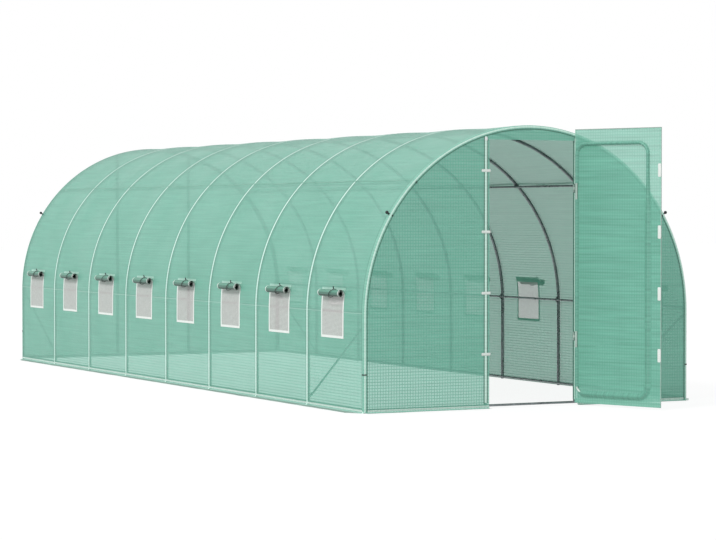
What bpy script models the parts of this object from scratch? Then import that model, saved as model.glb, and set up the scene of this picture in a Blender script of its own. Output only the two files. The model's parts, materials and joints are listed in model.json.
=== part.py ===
# Tunnel greenhouse: nine tube hoops under a grid-fabric cover, with sixteen windows
# whose flaps are rolled up, and a framed fabric door that stands open.
# Metres, +Z up. X runs across the tunnel and +Y from the doorway to the rear wall.
# The origin is on the ground, in the middle of the space that the greenhouse takes up
# with its door open as it stands here.

import math

import bmesh
import bpy
from mathutils import Matrix, Vector

# The tunnel's own size
WIDTH = 3.0  # between the centres of a hoop's two legs
WALL_HEIGHT = 0.75  # of the straight legs, up to where the half circle starts
BAY = 1.0  # from one hoop to the next
BAYS = 8
ARC_STEPS = 24  # straight steps along a hoop's half circle

# Tubes
HOOP_TUBE = 0.025  # outer diameter of hoops and door posts
BEAM_TUBE = 0.019  # outer diameter of beams and ground rails
BRACE_TUBE = 0.016
DOOR_TUBE = 0.019
TUBE_SIDES = 8  # what a bevel resolution of 2 gives

# Clearances
SEAT = 0.0003  # between pieces that rest on each other
BEAM_GAP = 0.0008  # between a beam and the hoop that carries it

# Beams and their clamps
UPPER_BEAM_ANGLE = 45.0  # up from the shoulder, round the half circle
SIDE_BEAM_ANGLE = 1.0
CLAMP_WALL = 0.0030
CLAMP_LENGTH = 0.022
GROUND_RAIL_HEIGHT = 0.0225

# Braces in the two end bays
BRACE_TOP = 0.710  # height of the bolted end on the end hoop
BRACE_FOOT = 0.070  # height of the bolted end on the next hoop
BRACE_PLATE_LENGTH = 0.055
BRACE_PLATE_PAST = 0.008  # how far a plate reaches past its bolt
BRACE_PLATE_WIDTH = 0.020
BRACE_PLATE = 0.0025

# Cover
CLOTH = 0.0010
SIDE_APRON = 0.100  # cloth lying outwards on the ground along the sides
END_APRON = 0.058  # the same at the front and rear walls
BEND_HEIGHT = 0.014  # where the wall cloth starts to turn outwards
BEND_REACH = 0.017  # how far out it lies flat
BEND_STEPS = 3

# Windows, one in each bay on both sides
WINDOW_CENTRE = 0.541  # behind the bay's front hoop
WINDOW_WIDTH = 0.400  # over the binding
WINDOW_BOTTOM = 0.565
WINDOW_TOP = 0.968  # upper edge of the flap's sewn header
HEADER_HEIGHT = 0.045
BINDING = 0.020  # width of the sewn edge tape
TRIM_RISE = 0.0012  # how far binding and header stand off the cloth
NET_DEPTH = 0.0006  # how far the net lies below the cloth's outer face
SUNK = 0.0004  # how deep the trim is sewn into the cloth

# Rolled flaps
FLAP_WIDTH = 0.385
FLAP_CLOTH = 0.0012
ROLL_RADIUS = 0.031
ROLL_CORE = 0.011
ROLL_TURNS = 2.5
ROLL_STEPS = 10  # steps in each turn
OUTER_STEP = 0.0032  # how far the last turn lies outside the one before it
STEP_OVER = 0.2  # the part of a turn in which it climbs there
ROLL_DROP = 0.045  # from the header's upper edge down to the roll's centre
TIE_WIDTH = 0.012
TIE_RISE = 0.0020
FIT_STEPS = 40  # places round a roll where its distance from the cover is found

# Doorway
POST_X = 0.420  # from the middle of the doorway to each post's centre
SADDLE_TOP = 0.0050  # from the hoop's centre line down to the top of a post's cut end
SADDLE_FOOT = 0.0019  # from the rail's centre line up to the bottom of its lower end
POST_WRAP = 0.040  # how far the left wall's cloth reaches past the post's centre
LINTEL_DEPTH = 0.1175  # of the cloth over the doorway, below the hoop's top
STRAPS = 4  # across the left post; a strip on the door closes on each
FIRST_STRAP = 0.433  # height of the lowest
LAST_STRAP = 0.248  # from the edge of the cloth over the doorway down to the highest
STRAP_LENGTH = 0.082
STRAP_WIDTH = 0.022
STRAP_THICKNESS = 0.0012

# Door leaf, measured from the hinge axis towards the free edge
OPEN_ANGLE = 111.0  # how far the door stands open, from closed
LEAF_INSET = 0.033  # hinge axis to the hinge-side tube
LEAF_GAP = 0.0865  # from the left post's centre to the free side's tube, when shut
LEAF_BOTTOM = 0.095
LEAF_DROP = 0.027  # from the edge of the cloth over the doorway down to the top tube
LEAF_CORNER = 0.090
CORNER_STEPS = 5
SKIN_START = 0.012
SKIN_LAP = 0.0425  # how far the skin reaches past the left post's centre, when shut
SKIN_BOTTOM = 0.020
SKIN_RISE = 0.092  # how far it reaches above the edge of the cloth over the doorway
STRIP_LENGTH = 0.105
STRIP_WIDTH = 0.030
STRIP_MARGIN = 0.005  # from the strip to the skin's free edge

# Door hinges
HINGE_HEIGHTS = (0.560, 1.760)
HINGE_LENGTH = 0.060
HINGE_SIDES = 12  # of clamps, knuckles and pins
LEAF_KNUCKLE = 0.022
KNUCKLE_RADIUS = 0.0055
PIN_RADIUS = 0.0030
PIN_CLEARANCE = 0.0004
KNUCKLE_GAP = 0.0006
LUG_THICKNESS = 0.0030
POST_CLAMP_WALL = 0.0028
HINGE_OFFSET = 0.0205  # hinge axis from the post's centre, towards the doorway
STRAP_PLAY = 0.0015  # between the straps and the strips when the door is shut
WALL_CLEARANCE = 0.0045  # between the post's clamp and the right wall's cloth

# Worked out from the sizes above
HALF_WIDTH = WIDTH / 2
TUNNEL_LENGTH = BAY * BAYS
HOOP_R = HOOP_TUBE / 2
BEAM_R = BEAM_TUBE / 2
BRACE_R = BRACE_TUBE / 2
DOOR_R = DOOR_TUBE / 2
COVER_INSIDE = HALF_WIDTH + HOOP_R + SEAT
COVER_OUTSIDE = COVER_INSIDE + CLOTH
SEAM_TURN = math.degrees(SEAT / 2 / COVER_INSIDE)  # half the gap where two widths of cover meet
BEAM_OFFSET = HOOP_R + BEAM_GAP + BEAM_R
ROLL_HEIGHT = WINDOW_TOP - ROLL_DROP
STEP_ANGLE = 180.0 / ARC_STEPS
WALL_INSIDE = HOOP_R + SEAT  # end wall's inner face, from the end hoop's plane
WALL_OUTSIDE = WALL_INSIDE + CLOTH
STRIP_OUTSIDE = CLOTH / 2 + SEAT + STRAP_THICKNESS
HINGE_FORWARD = WALL_OUTSIDE + SEAT + STRAP_THICKNESS + STRAP_PLAY + STRIP_OUTSIDE
HINGE_X = POST_X - HINGE_OFFSET
LINTEL_HEIGHT = WALL_HEIGHT + HALF_WIDTH + HOOP_R - LINTEL_DEPTH
LEAF_TOP = LINTEL_HEIGHT - LEAF_DROP
LEAF_WIDTH = HINGE_X + POST_X - LEAF_INSET - LEAF_GAP  # between the uprights' centres
SKIN_END = HINGE_X + POST_X + SKIN_LAP
SKIN_TOP = LINTEL_HEIGHT + SKIN_RISE
STRAP_PITCH = (LINTEL_HEIGHT - LAST_STRAP - FIRST_STRAP) / (STRAPS - 1)
STRAP_HEIGHTS = [FIRST_STRAP + number * STRAP_PITCH for number in range(STRAPS)]
LEAF_PLANE = CLOTH / 2 + SEAT + DOOR_R  # skin's middle to the tubes' centres
OPEN = math.radians(OPEN_ANGLE)
FRONT_REACH = HINGE_FORWARD + SKIN_END * math.sin(OPEN) - CLOTH / 2 * math.cos(OPEN)
REAR_REACH = WALL_INSIDE + END_APRON
FRONT_Y = (FRONT_REACH - TUNNEL_LENGTH - REAR_REACH) / 2
REAR_Y = FRONT_Y + TUNNEL_LENGTH

SMOOTH_ANGLE = math.radians(50)
# Columns are where an outline's own X, Y and thickness point in the world.
ACROSS = Matrix(((1, 0, 0), (0, 0, -1), (0, 1, 0))).to_4x4()  # outline in X and Z
ALONG = Matrix(((0, 0, 1), (1, 0, 0), (0, 1, 0))).to_4x4()  # outline in Y and Z


def colour_of(name, colour, roughness, metallic):
    material = bpy.data.materials.new(name)
    material.use_nodes = True
    shader = material.node_tree.nodes["Principled BSDF"]
    shader.inputs["Base Color"].default_value = (*colour, 1.0)
    shader.inputs["Roughness"].default_value = roughness
    shader.inputs["Metallic"].default_value = metallic
    return material


# Helpers that make and join shapes


def placed(name, data, material, collection=None):
    piece = bpy.data.objects.new(name, data)
    (collection or parts).objects.link(piece)
    if material:
        data.materials.clear()
        data.materials.append(material)
    return piece


def tube(name, points, radius, material, closed=False, collection=None):
    """A tube along straight runs between points, with eight sides."""
    curve = bpy.data.curves.new(name, "CURVE")
    curve.dimensions = "3D"
    curve.bevel_depth = radius
    curve.bevel_resolution = TUBE_SIDES // 2 - 2
    curve.use_fill_caps = not closed
    spline = curve.splines.new("POLY")
    spline.points.add(len(points) - 1)
    for point, place in zip(spline.points, points):
        point.co = (*place, 1.0)
    spline.use_cyclic_u = closed
    return placed(name, curve, material, collection)


def flat(name, outlines, thickness, plane, place, material, collection=None):
    """Flat outlines, given thickness evenly to both sides of their plane."""
    curve = bpy.data.curves.new(name, "CURVE")
    curve.dimensions = "2D"
    curve.fill_mode = "BOTH"
    curve.extrude = thickness / 2
    for outline in outlines:
        spline = curve.splines.new("POLY")
        spline.points.add(len(outline) - 1)
        for point, (x, y) in zip(spline.points, outline):
            point.co = (x, y, 0.0, 1.0)
        spline.use_cyclic_u = True
    piece = placed(name, curve, material, collection)
    piece.matrix_world = Matrix.Translation(place) @ plane
    return piece


def cloth(name, shape, material, thickness=CLOTH, collection=None):
    """An open surface given the cloth's thickness, away from the tunnel's middle."""
    bmesh.ops.recalc_face_normals(shape, faces=shape.faces)
    widest = max(shape.faces, key=lambda face: face.calc_area())
    outward = widest.calc_center_median() - Vector((0, (FRONT_Y + REAR_Y) / 2, 0))
    side = 1 if widest.normal.dot(outward) > 0 else -1
    mesh = bpy.data.meshes.new(name)
    shape.to_mesh(mesh)
    shape.free()
    piece = placed(name, mesh, material, collection)
    thick = piece.modifiers.new("cloth", "SOLIDIFY")
    thick.thickness = thickness
    thick.use_even_offset = True
    thick.offset = side
    return as_mesh(piece)


def grown(shape, edges, step):
    """New faces from these edges, a step away, and the edges that they end in."""
    result = bmesh.ops.extrude_edge_only(shape, edges=edges)["geom"]
    moved = [item for item in result if isinstance(item, bmesh.types.BMVert)]
    bmesh.ops.translate(shape, verts=moved, vec=step)
    return [item for item in result if isinstance(item, bmesh.types.BMEdge)]


def sheet(name, path, start, end, material):
    """Cloth along a path in X and Z, from start to end along Y."""
    shape = bmesh.new()
    corners = [shape.verts.new((x, start, z)) for x, z in path]
    edges = [shape.edges.new(pair) for pair in zip(corners, corners[1:])]
    grown(shape, edges, (0, end - start, 0))
    return cloth(name, shape, material)


def block(name, size, matrix, material, collection=None):
    shape = bmesh.new()
    bmesh.ops.create_cube(shape, size=1.0, matrix=matrix @ Matrix.Diagonal((*size, 1.0)))
    mesh = bpy.data.meshes.new(name)
    shape.to_mesh(mesh)
    shape.free()
    return placed(name, mesh, material, collection)


def round_bar(name, radius, length, matrix, sides, material, collection=None):
    """A bar along the matrix's own Z, its flats facing X, Y and between them."""
    turned = matrix @ Matrix.Rotation(math.pi / sides, 4, "Z")
    shape = bmesh.new()
    bmesh.ops.create_cone(
        shape, cap_ends=True, segments=sides, radius1=radius, radius2=radius, depth=length, matrix=turned
    )
    mesh = bpy.data.meshes.new(name)
    shape.to_mesh(mesh)
    shape.free()
    return placed(name, mesh, material, collection)


def over_flats(radius, sides):
    """The corner radius of a round bar whose flats lie at this radius."""
    return radius / math.cos(math.pi / sides)


def as_mesh(piece):
    """Turns a piece with a curve or modifiers into a plain closed mesh."""
    bpy.context.view_layer.update()
    graph = bpy.context.evaluated_depsgraph_get()
    mesh = bpy.data.meshes.new_from_object(piece.evaluated_get(graph))
    shape = bmesh.new()
    shape.from_mesh(mesh)
    bmesh.ops.remove_doubles(shape, verts=shape.verts, dist=0.00001)
    shape.to_mesh(mesh)
    shape.free()
    name, matrix, homes = piece.name, piece.matrix_world.copy(), list(piece.users_collection)
    bpy.data.objects.remove(piece)
    solid = bpy.data.objects.new(name, mesh)
    for home in homes:
        home.objects.link(solid)
    solid.matrix_world = matrix
    return solid


def combined(piece, other, operation):
    """The piece with another joined to it (UNION) or cut from it (DIFFERENCE)."""
    if other.type == "CURVE":
        other = as_mesh(other)
    change = piece.modifiers.new(operation.lower(), "BOOLEAN")
    change.operation = operation
    change.object = other
    change.solver = "EXACT"
    result = as_mesh(piece)
    bpy.data.objects.remove(other)
    return result


def joined(piece, *others):
    for other in others:
        piece = combined(piece, other, "UNION")
    return piece


def cut(piece, *others):
    for other in others:
        piece = combined(piece, other, "DIFFERENCE")
    return piece


def smooth(piece):
    piece.data.shade_smooth()
    piece.data.set_sharp_from_angle(angle=SMOOTH_ANGLE)
    return piece


def copied(name, original, place, turn=0.0):
    """Another piece of the same shape, moved and turned about Z."""
    piece = bpy.data.objects.new(name, original.data)
    parts.objects.link(piece)
    moved = Matrix.Translation(place) @ Matrix.Rotation(turn, 4, "Z")
    piece.matrix_world = moved @ original.matrix_world
    return piece


# Places along the hoop


def arc(radius, first, last):
    """Points of the hoop's half circle at this radius, between two angles in degrees."""
    steps = round(abs(last - first) / STEP_ANGLE)
    angles = [math.radians(first + (last - first) * step / steps) for step in range(steps + 1)]
    return [(radius * math.cos(a), WALL_HEIGHT + radius * math.sin(a)) for a in angles]


def hoop_radius(angle):
    """How far a hoop's centre line is from the half circle's centre, on its straight steps."""
    middle = (math.floor(angle / STEP_ANGLE) + 0.5) * STEP_ANGLE
    if angle % STEP_ANGLE == 0:
        return HALF_WIDTH
    flat_radius = HALF_WIDTH * math.cos(math.radians(STEP_ANGLE / 2))
    return flat_radius / math.cos(math.radians(angle - middle))


def hoop_height(x):
    """Height of a hoop's centre line over a place beside the middle."""
    angle = math.degrees(math.acos(x / HALF_WIDTH))
    return WALL_HEIGHT + hoop_radius(angle) * math.sin(math.radians(angle))


def hoop_line(y):
    legs_and_arc = [(-HALF_WIDTH, 0.0), *arc(HALF_WIDTH, 180, 0), (HALF_WIDTH, 0.0)]
    return [(x, y, z) for x, z in legs_and_arc]


def beam_places():
    """Each beam's name, angle, and its centre in X and Z, inside the hoops."""
    angles = {
        "side_beam_left": 180 - SIDE_BEAM_ANGLE,
        "upper_beam_left": 180 - UPPER_BEAM_ANGLE,
        "ridge_beam": 90.0,
        "upper_beam_right": UPPER_BEAM_ANGLE,
        "side_beam_right": SIDE_BEAM_ANGLE,
    }
    places = []
    for name, angle in angles.items():
        reach = hoop_radius(angle) - BEAM_OFFSET
        x = reach * math.cos(math.radians(angle))
        z = WALL_HEIGHT + reach * math.sin(math.radians(angle))
        places.append((name, angle, x, z))
    return places


# Frame


def make_hoops():
    """Nine hoops of one shape, each with a clamp round every beam."""
    hoop = as_mesh(tube("hoop", hoop_line(0.0), HOOP_R, galvanised))
    bore = over_flats(BEAM_R + SEAT, TUBE_SIDES)
    for name, angle, x, z in beam_places():
        lying = Matrix.Translation((x, 0, z)) @ Matrix.Rotation(-math.radians(angle), 4, "Y")
        lying = lying @ Matrix.Rotation(math.pi / 2, 4, "X")
        clamp = round_bar("clamp", bore + CLAMP_WALL, CLAMP_LENGTH, lying, TUBE_SIDES, None, tools)
        hole = round_bar("hole", bore, 2 * CLAMP_LENGTH, lying, TUBE_SIDES, None, tools)
        hoop = cut(joined(hoop, clamp), hole)
    smooth(hoop)
    for number in range(BAYS + 1):
        copied(f"hoop_{number + 1}", hoop, (0, FRONT_Y + number * BAY, 0))
    bpy.data.objects.remove(hoop)


def make_beams():
    """The ridge, upper and side beams, which run the tunnel's length inside the hoops."""
    for name, _, x, z in beam_places():
        tube(name, [(x, FRONT_Y - HOOP_R, z), (x, REAR_Y + HOOP_R, z)], BEAM_R, galvanised)


def make_ground_rails():
    reach = HALF_WIDTH - HOOP_R - SEAT
    for name, y in (("ground_rail_front", FRONT_Y), ("ground_rail_rear", REAR_Y)):
        ends = [(-reach, y, GROUND_RAIL_HEIGHT), (reach, y, GROUND_RAIL_HEIGHT)]
        tube(name, ends, BEAM_R, galvanised)
    inset = BEAM_R + SEAT
    for name, side in (("ground_rail_left", -1), ("ground_rail_right", 1)):
        x = side * (HALF_WIDTH - HOOP_R - SEAT - BEAM_R)
        ends = [(x, FRONT_Y + inset, GROUND_RAIL_HEIGHT), (x, REAR_Y - inset, GROUND_RAIL_HEIGHT)]
        tube(name, ends, BEAM_R, galvanised)


def make_braces():
    """Slanted tubes with flattened, bolted ends, from each end hoop to the next one's foot."""
    slope = math.atan2(BRACE_FOOT - BRACE_TOP, BAY)
    length = math.hypot(BAY, BRACE_TOP - BRACE_FOOT)
    plate_middle = length / 2 + BRACE_PLATE_PAST - BRACE_PLATE_LENGTH / 2
    inner_face = HALF_WIDTH - HOOP_R - SEAT
    for end, middle_y, heading in (("front", FRONT_Y + BAY / 2, 1), ("rear", REAR_Y - BAY / 2, -1)):
        for side_name, side in (("left", -1), ("right", 1)):
            middle = (side * inner_face, middle_y, (BRACE_TOP + BRACE_FOOT) / 2)
            lying = Matrix.Translation(middle) @ Matrix.Rotation(heading * slope, 4, "X")
            x = -side * BRACE_R
            ends = [lying @ Matrix.Translation((x, way * plate_middle, 0)) for way in (-1, 1)]
            ends = [matrix.translation for matrix in ends]
            brace = as_mesh(tube(f"brace_{end}_{side_name}", ends, BRACE_R, galvanised))
            for way in (-1, 1):
                at = Matrix.Translation((-side * BRACE_PLATE / 2, way * plate_middle, 0))
                size = (BRACE_PLATE, BRACE_PLATE_LENGTH, BRACE_PLATE_WIDTH)
                plate = block("plate", size, lying @ at, None, tools)
                brace = joined(brace, plate)
            smooth(brace)


def make_posts():
    """Two posts at each end, shaped to fit over the ground rail and under the hoop."""
    for end, y in (("front", FRONT_Y), ("rear", REAR_Y)):
        for side_name, side in (("left", -1), ("right", 1)):
            x = side * POST_X
            top = hoop_height(x) - SADDLE_TOP
            line = [(x, y, GROUND_RAIL_HEIGHT + SADDLE_FOOT), (x, y, top)]
            post = as_mesh(tube(f"{end}_post_{side_name}", line, HOOP_R, galvanised))
            hoop_shape = tube("hoop_shape", hoop_line(y), HOOP_R + SEAT, None, collection=tools)
            reach = 2 * HOOP_R
            rail_line = [(x - reach, y, GROUND_RAIL_HEIGHT), (x + reach, y, GROUND_RAIL_HEIGHT)]
            rail_shape = tube("rail_shape", rail_line, BEAM_R + SEAT, None, collection=tools)
            smooth(cut(post, hoop_shape, rail_shape))


# Cover


def apron_line(reach):
    """From the edge on the ground to the wall, outwards from the wall cloth's inner face."""
    line = [(reach, 0.0)]
    for step in range(BEND_STEPS + 1):
        angle = math.pi / 2 * step / BEND_STEPS
        line.append((BEND_REACH * (1 - math.sin(angle)), BEND_HEIGHT * (1 - math.cos(angle))))
    return line


def side_face():
    """Corners of the side cover's outer face, from the ground to its upper edge."""
    reach = COVER_INSIDE + CLOTH / math.cos(math.radians(STEP_ANGLE / 2))
    return [(COVER_OUTSIDE, 0.0), (COVER_OUTSIDE, WALL_HEIGHT), *arc(reach, 0, UPPER_BEAM_ANGLE)[1:]]


def face_at(height):
    """How far out the side cover's outer face is at this height."""
    for (x, z), (next_x, next_z) in zip(side_face(), side_face()[1:]):
        if height <= next_z:
            return x + (next_x - x) * (height - z) / (next_z - z)
    return side_face()[-1][0]


def on_window(name, side, y, widths, heights, hole, sunk, rise):
    """A flat piece on the side cover, from sunk below its outer face to rise above it."""
    bends = [z for _, z in side_face() if heights[0] < z < heights[-1]]
    levels = sorted({*heights, *bends})
    shape = bmesh.new()
    line = [shape.verts.new((side * (face_at(z) - sunk), y + widths[0], z)) for z in levels]
    edges = [shape.edges.new(pair) for pair in zip(line, line[1:])]
    for width, further in zip(widths, widths[1:]):
        edges = grown(shape, edges, (0, further - width, 0))
    if hole:
        low, high = heights[1], heights[2]
        inside = []
        for face in shape.faces:
            middle = face.calc_center_median()
            if low < middle.z < high and widths[1] < middle.y - y < widths[2]:
                inside.append(face)
        bmesh.ops.delete(shape, geom=inside, context="FACES")
    return cloth(name, shape, None, sunk + rise, tools)


def make_side_cover(name, side):
    """One side's width of cloth: apron, wall and the arc's first eighth, with its windows."""
    apron = [(COVER_INSIDE + out, z) for out, z in apron_line(SIDE_APRON)]
    path = apron + arc(COVER_INSIDE, 0, UPPER_BEAM_ANGLE - SEAM_TURN)
    path = [(side * x, z) for x, z in path]
    cover = sheet(name, path, FRONT_Y - WALL_OUTSIDE, REAR_Y + WALL_OUTSIDE, green_fabric)
    half = WINDOW_WIDTH / 2
    widths = (-half, BINDING - half, half - BINDING, half)
    heights = (WINDOW_BOTTOM, WINDOW_BOTTOM + BINDING, WINDOW_TOP - HEADER_HEIGHT, WINDOW_TOP)
    for bay in range(BAYS):
        y = FRONT_Y + bay * BAY + WINDOW_CENTRE
        net = on_window("net", side, y, widths[1:3], heights[1:3], False, NET_DEPTH, NET_DEPTH)
        trim = on_window("trim", side, y, widths, heights, True, SUNK, TRIM_RISE)
        cover = joined(cut(cover, net), trim)
    return smooth(cover)


def make_cover():
    """Three widths of cloth, which meet along the upper beams."""
    make_side_cover("cover_left", -1)
    make_side_cover("cover_right", 1)
    path = arc(COVER_INSIDE, UPPER_BEAM_ANGLE + SEAM_TURN, 180 - UPPER_BEAM_ANGLE - SEAM_TURN)
    smooth(sheet("cover_roof", path, FRONT_Y - WALL_OUTSIDE, REAR_Y + WALL_OUTSIDE, green_fabric))


def end_wall(name, y, outwards, doorway):
    """A flat end wall inside the cover's edge, with its apron on the ground."""
    edge = HALF_WIDTH + HOOP_R
    outline = [*arc(edge, 0, 180), (-edge, BEND_HEIGHT)]
    if doorway:
        left, right = doorway
        outline += [(left, BEND_HEIGHT), (left, LINTEL_HEIGHT)]
        outline += [(right, LINTEL_HEIGHT), (right, BEND_HEIGHT)]
    outline.append((edge, BEND_HEIGHT))
    shape = bmesh.new()
    corners = [shape.verts.new((x, y + outwards * WALL_INSIDE, z)) for x, z in outline]
    shape.faces.new(corners)
    low = {corner for corner, (_, z) in zip(corners, outline) if z == BEND_HEIGHT}
    feet = [side for side in shape.edges if low.issuperset(side.verts)]
    bends = apron_line(END_APRON)[::-1]
    for (out, z), (further, lower) in zip(bends, bends[1:]):
        feet = grown(shape, feet, (0, outwards * (further - out), lower - z))
    return smooth(cloth(name, shape, green_fabric))


def make_end_walls():
    clamp_edge = POST_X + over_flats(HOOP_R + SEAT, HINGE_SIDES) + POST_CLAMP_WALL
    end_wall("front_wall", FRONT_Y, -1, (POST_WRAP - POST_X, clamp_edge + WALL_CLEARANCE))
    end_wall("rear_wall", REAR_Y, 1, None)


def make_post_straps():
    """White hook tape across the left post, where the door's strips close on it."""
    y = FRONT_Y - WALL_OUTSIDE - SEAT - STRAP_THICKNESS / 2
    for number, height in enumerate(STRAP_HEIGHTS, 1):
        size = (STRAP_LENGTH, STRAP_THICKNESS, STRAP_WIDTH)
        place = Matrix.Translation((-POST_X, y, height))
        block(f"post_strap_{number}", size, place, white_tape)


# Rolled flaps


def roll_radius(turn):
    """Radius of the rolled cloth's middle: it climbs, steps over its own last turn, and stays."""
    outermost = ROLL_RADIUS - FLAP_CLOTH / 2
    under = outermost - OUTER_STEP
    last_turn = ROLL_TURNS - 1
    if turn <= last_turn:
        return ROLL_CORE + (under - ROLL_CORE) * turn / last_turn
    return min(under + OUTER_STEP * (turn - last_turn) / STEP_OVER, outermost)


def roll_outline():
    """Both faces of the rolled cloth, as one closed line, and the points of its middle."""
    turns = [step / ROLL_STEPS for step in range(round(ROLL_TURNS * ROLL_STEPS) + 1)]
    outer, inner, middle = [], [], []
    for turn in turns:
        angle = 2 * math.pi * turn
        direction = Vector((math.cos(angle), math.sin(angle)))
        middle.append(direction * roll_radius(turn))
        outer.append(direction * (roll_radius(turn) + FLAP_CLOTH / 2))
        inner.append(direction * (roll_radius(turn) - FLAP_CLOTH / 2))
    return outer + inner[::-1], middle


def least_turn_gap(middle):
    """The least gap between turns of the rolled cloth, from each point to the runs outside it."""
    least = math.inf
    for number, point in enumerate(middle):
        further = middle[number + ROLL_STEPS // 2 :]
        for start, end in zip(further, further[1:]):
            along = max(0.0, min(1.0, (point - start).dot(end - start) / (end - start).length_squared))
            least = min(least, (start + along * (end - start) - point).length)
    return least - FLAP_CLOTH


def make_flap_rolls():
    outline, middle = roll_outline()
    print(f"least gap between a rolled flap's turns: {1000 * least_turn_gap(middle):.2f} mm")
    roll = as_mesh(flat("roll", [outline], FLAP_WIDTH, ACROSS, (0, 0, 0), green_fabric))
    lying = Matrix.Rotation(math.pi / 2, 4, "X")
    outer = ROLL_RADIUS + TIE_RISE
    band = round_bar("band", outer, TIE_WIDTH, lying, ROLL_STEPS, None, tools)
    bore = ROLL_RADIUS - FLAP_CLOTH / 2
    hole = round_bar("hole", bore, 2 * TIE_WIDTH, lying, ROLL_STEPS, None, tools)
    roll = smooth(joined(roll, cut(band, hole)))
    clear = TRIM_RISE + SEAT + outer
    offsets = [clear * (2 * step / FIT_STEPS - 1) for step in range(FIT_STEPS + 1)]
    x = max(face_at(ROLL_HEIGHT + z) + math.sqrt(clear**2 - z**2) for z in offsets)
    for bay in range(BAYS):
        y = FRONT_Y + bay * BAY + WINDOW_CENTRE
        copied(f"flap_roll_left_{bay + 1}", roll, (-x, y, ROLL_HEIGHT), math.pi)
        copied(f"flap_roll_right_{bay + 1}", roll, (x, y, ROLL_HEIGHT))
    bpy.data.objects.remove(roll)


# Door


def rounded_frame():
    """Centre line of the door's tube frame, hinge side first, in the leaf's own plane."""
    left, right = LEAF_INSET, LEAF_INSET + LEAF_WIDTH
    corners = [
        (right - LEAF_CORNER, LEAF_BOTTOM + LEAF_CORNER, -90),
        (right - LEAF_CORNER, LEAF_TOP - LEAF_CORNER, 0),
        (left + LEAF_CORNER, LEAF_TOP - LEAF_CORNER, 90),
        (left + LEAF_CORNER, LEAF_BOTTOM + LEAF_CORNER, 180),
    ]
    line = []
    for x, z, first in corners:
        for step in range(CORNER_STEPS + 1):
            angle = math.radians(first + 90 * step / CORNER_STEPS)
            out_x = x + LEAF_CORNER * math.cos(angle)
            out_z = z + LEAF_CORNER * math.sin(angle)
            line.append((out_x, -LEAF_PLANE, out_z))
    return line


def lug(name, start, reach, angle, height, centre):
    """A flat link standing on edge, from the hinge pin outwards."""
    turned = Matrix.Translation((*start, centre)) @ Matrix.Rotation(angle, 4, "Z")
    size = (reach, LUG_THICKNESS, height)
    return block(name, size, turned @ Matrix.Translation((reach / 2, 0, 0)), None, tools)


def make_door():
    """The leaf in its own frame: X from hinge to free edge, +Y outwards, under one empty."""
    hinge = bpy.data.objects.new("door_hinge_axis", None)
    parts.objects.link(hinge)
    hinge.location = (HINGE_X, FRONT_Y - HINGE_FORWARD, 0)
    hinge.rotation_euler = (0, 0, math.pi + OPEN)
    frame = as_mesh(tube("door_frame", rounded_frame(), DOOR_R, galvanised, closed=True))
    angle = math.atan2(-LEAF_PLANE, LEAF_INSET)
    reach = math.hypot(LEAF_INSET, LEAF_PLANE)
    for height in HINGE_HEIGHTS:
        upright = Matrix.Translation((0, 0, height))
        knuckle = round_bar(
            "knuckle", KNUCKLE_RADIUS, LEAF_KNUCKLE, upright, HINGE_SIDES, None, tools
        )
        link = lug("link", (0, 0), reach, angle, LEAF_KNUCKLE, height)
        bore = over_flats(PIN_RADIUS + PIN_CLEARANCE, HINGE_SIDES)
        hole = round_bar("hole", bore, 2 * LEAF_KNUCKLE, upright, HINGE_SIDES, None, tools)
        frame = cut(joined(frame, joined(knuckle, link)), hole)
    smooth(frame).parent = hinge
    skin_size = (SKIN_END - SKIN_START, CLOTH, SKIN_TOP - SKIN_BOTTOM)
    skin_middle = ((SKIN_START + SKIN_END) / 2, 0, (SKIN_BOTTOM + SKIN_TOP) / 2)
    skin = block("door_skin", skin_size, Matrix.Translation(skin_middle), green_fabric)
    skin.parent = hinge
    strip_x = SKIN_END - STRIP_MARGIN - STRIP_WIDTH / 2
    strip_y = -CLOTH / 2 - SEAT - STRAP_THICKNESS / 2
    for number, height in enumerate(STRAP_HEIGHTS, 1):
        size = (STRIP_WIDTH, STRAP_THICKNESS, STRIP_LENGTH)
        place = Matrix.Translation((strip_x, strip_y, height))
        strip = block(f"door_strip_{number}", size, place, white_tape)
        strip.parent = hinge


def make_hinge_brackets():
    """A clamp round the right post with two knuckles, and the pin through them."""
    post_bore = over_flats(HOOP_R + SEAT, HINGE_SIDES)
    clamp_radius = post_bore + POST_CLAMP_WALL
    axis = (HINGE_X, FRONT_Y - HINGE_FORWARD)
    towards_post = math.atan2(HINGE_FORWARD, HINGE_OFFSET)
    reach = math.hypot(HINGE_FORWARD, HINGE_OFFSET)
    fixed = (HINGE_LENGTH - LEAF_KNUCKLE) / 2 - KNUCKLE_GAP
    for name, height in zip(("hinge_bracket_lower", "hinge_bracket_upper"), HINGE_HEIGHTS):
        post_middle = Matrix.Translation((POST_X, FRONT_Y, height))
        bracket = round_bar(name, clamp_radius, HINGE_LENGTH, post_middle, HINGE_SIDES, galvanised)
        pin_middle = Matrix.Translation((*axis, height))
        pin = round_bar("pin", PIN_RADIUS, HINGE_LENGTH, pin_middle, HINGE_SIDES, None, tools)
        for way in (-1, 1):
            centre = height + way * (HINGE_LENGTH - fixed) / 2
            middle = Matrix.Translation((*axis, centre))
            knuckle = round_bar("knuckle", KNUCKLE_RADIUS, fixed, middle, HINGE_SIDES, None, tools)
            link = lug("link", axis, reach, towards_post, fixed, centre)
            bracket = joined(bracket, joined(link, knuckle))
        bore = round_bar("bore", post_bore, 2 * HINGE_LENGTH, post_middle, HINGE_SIDES, None, tools)
        smooth(joined(cut(bracket, bore), pin))


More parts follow.
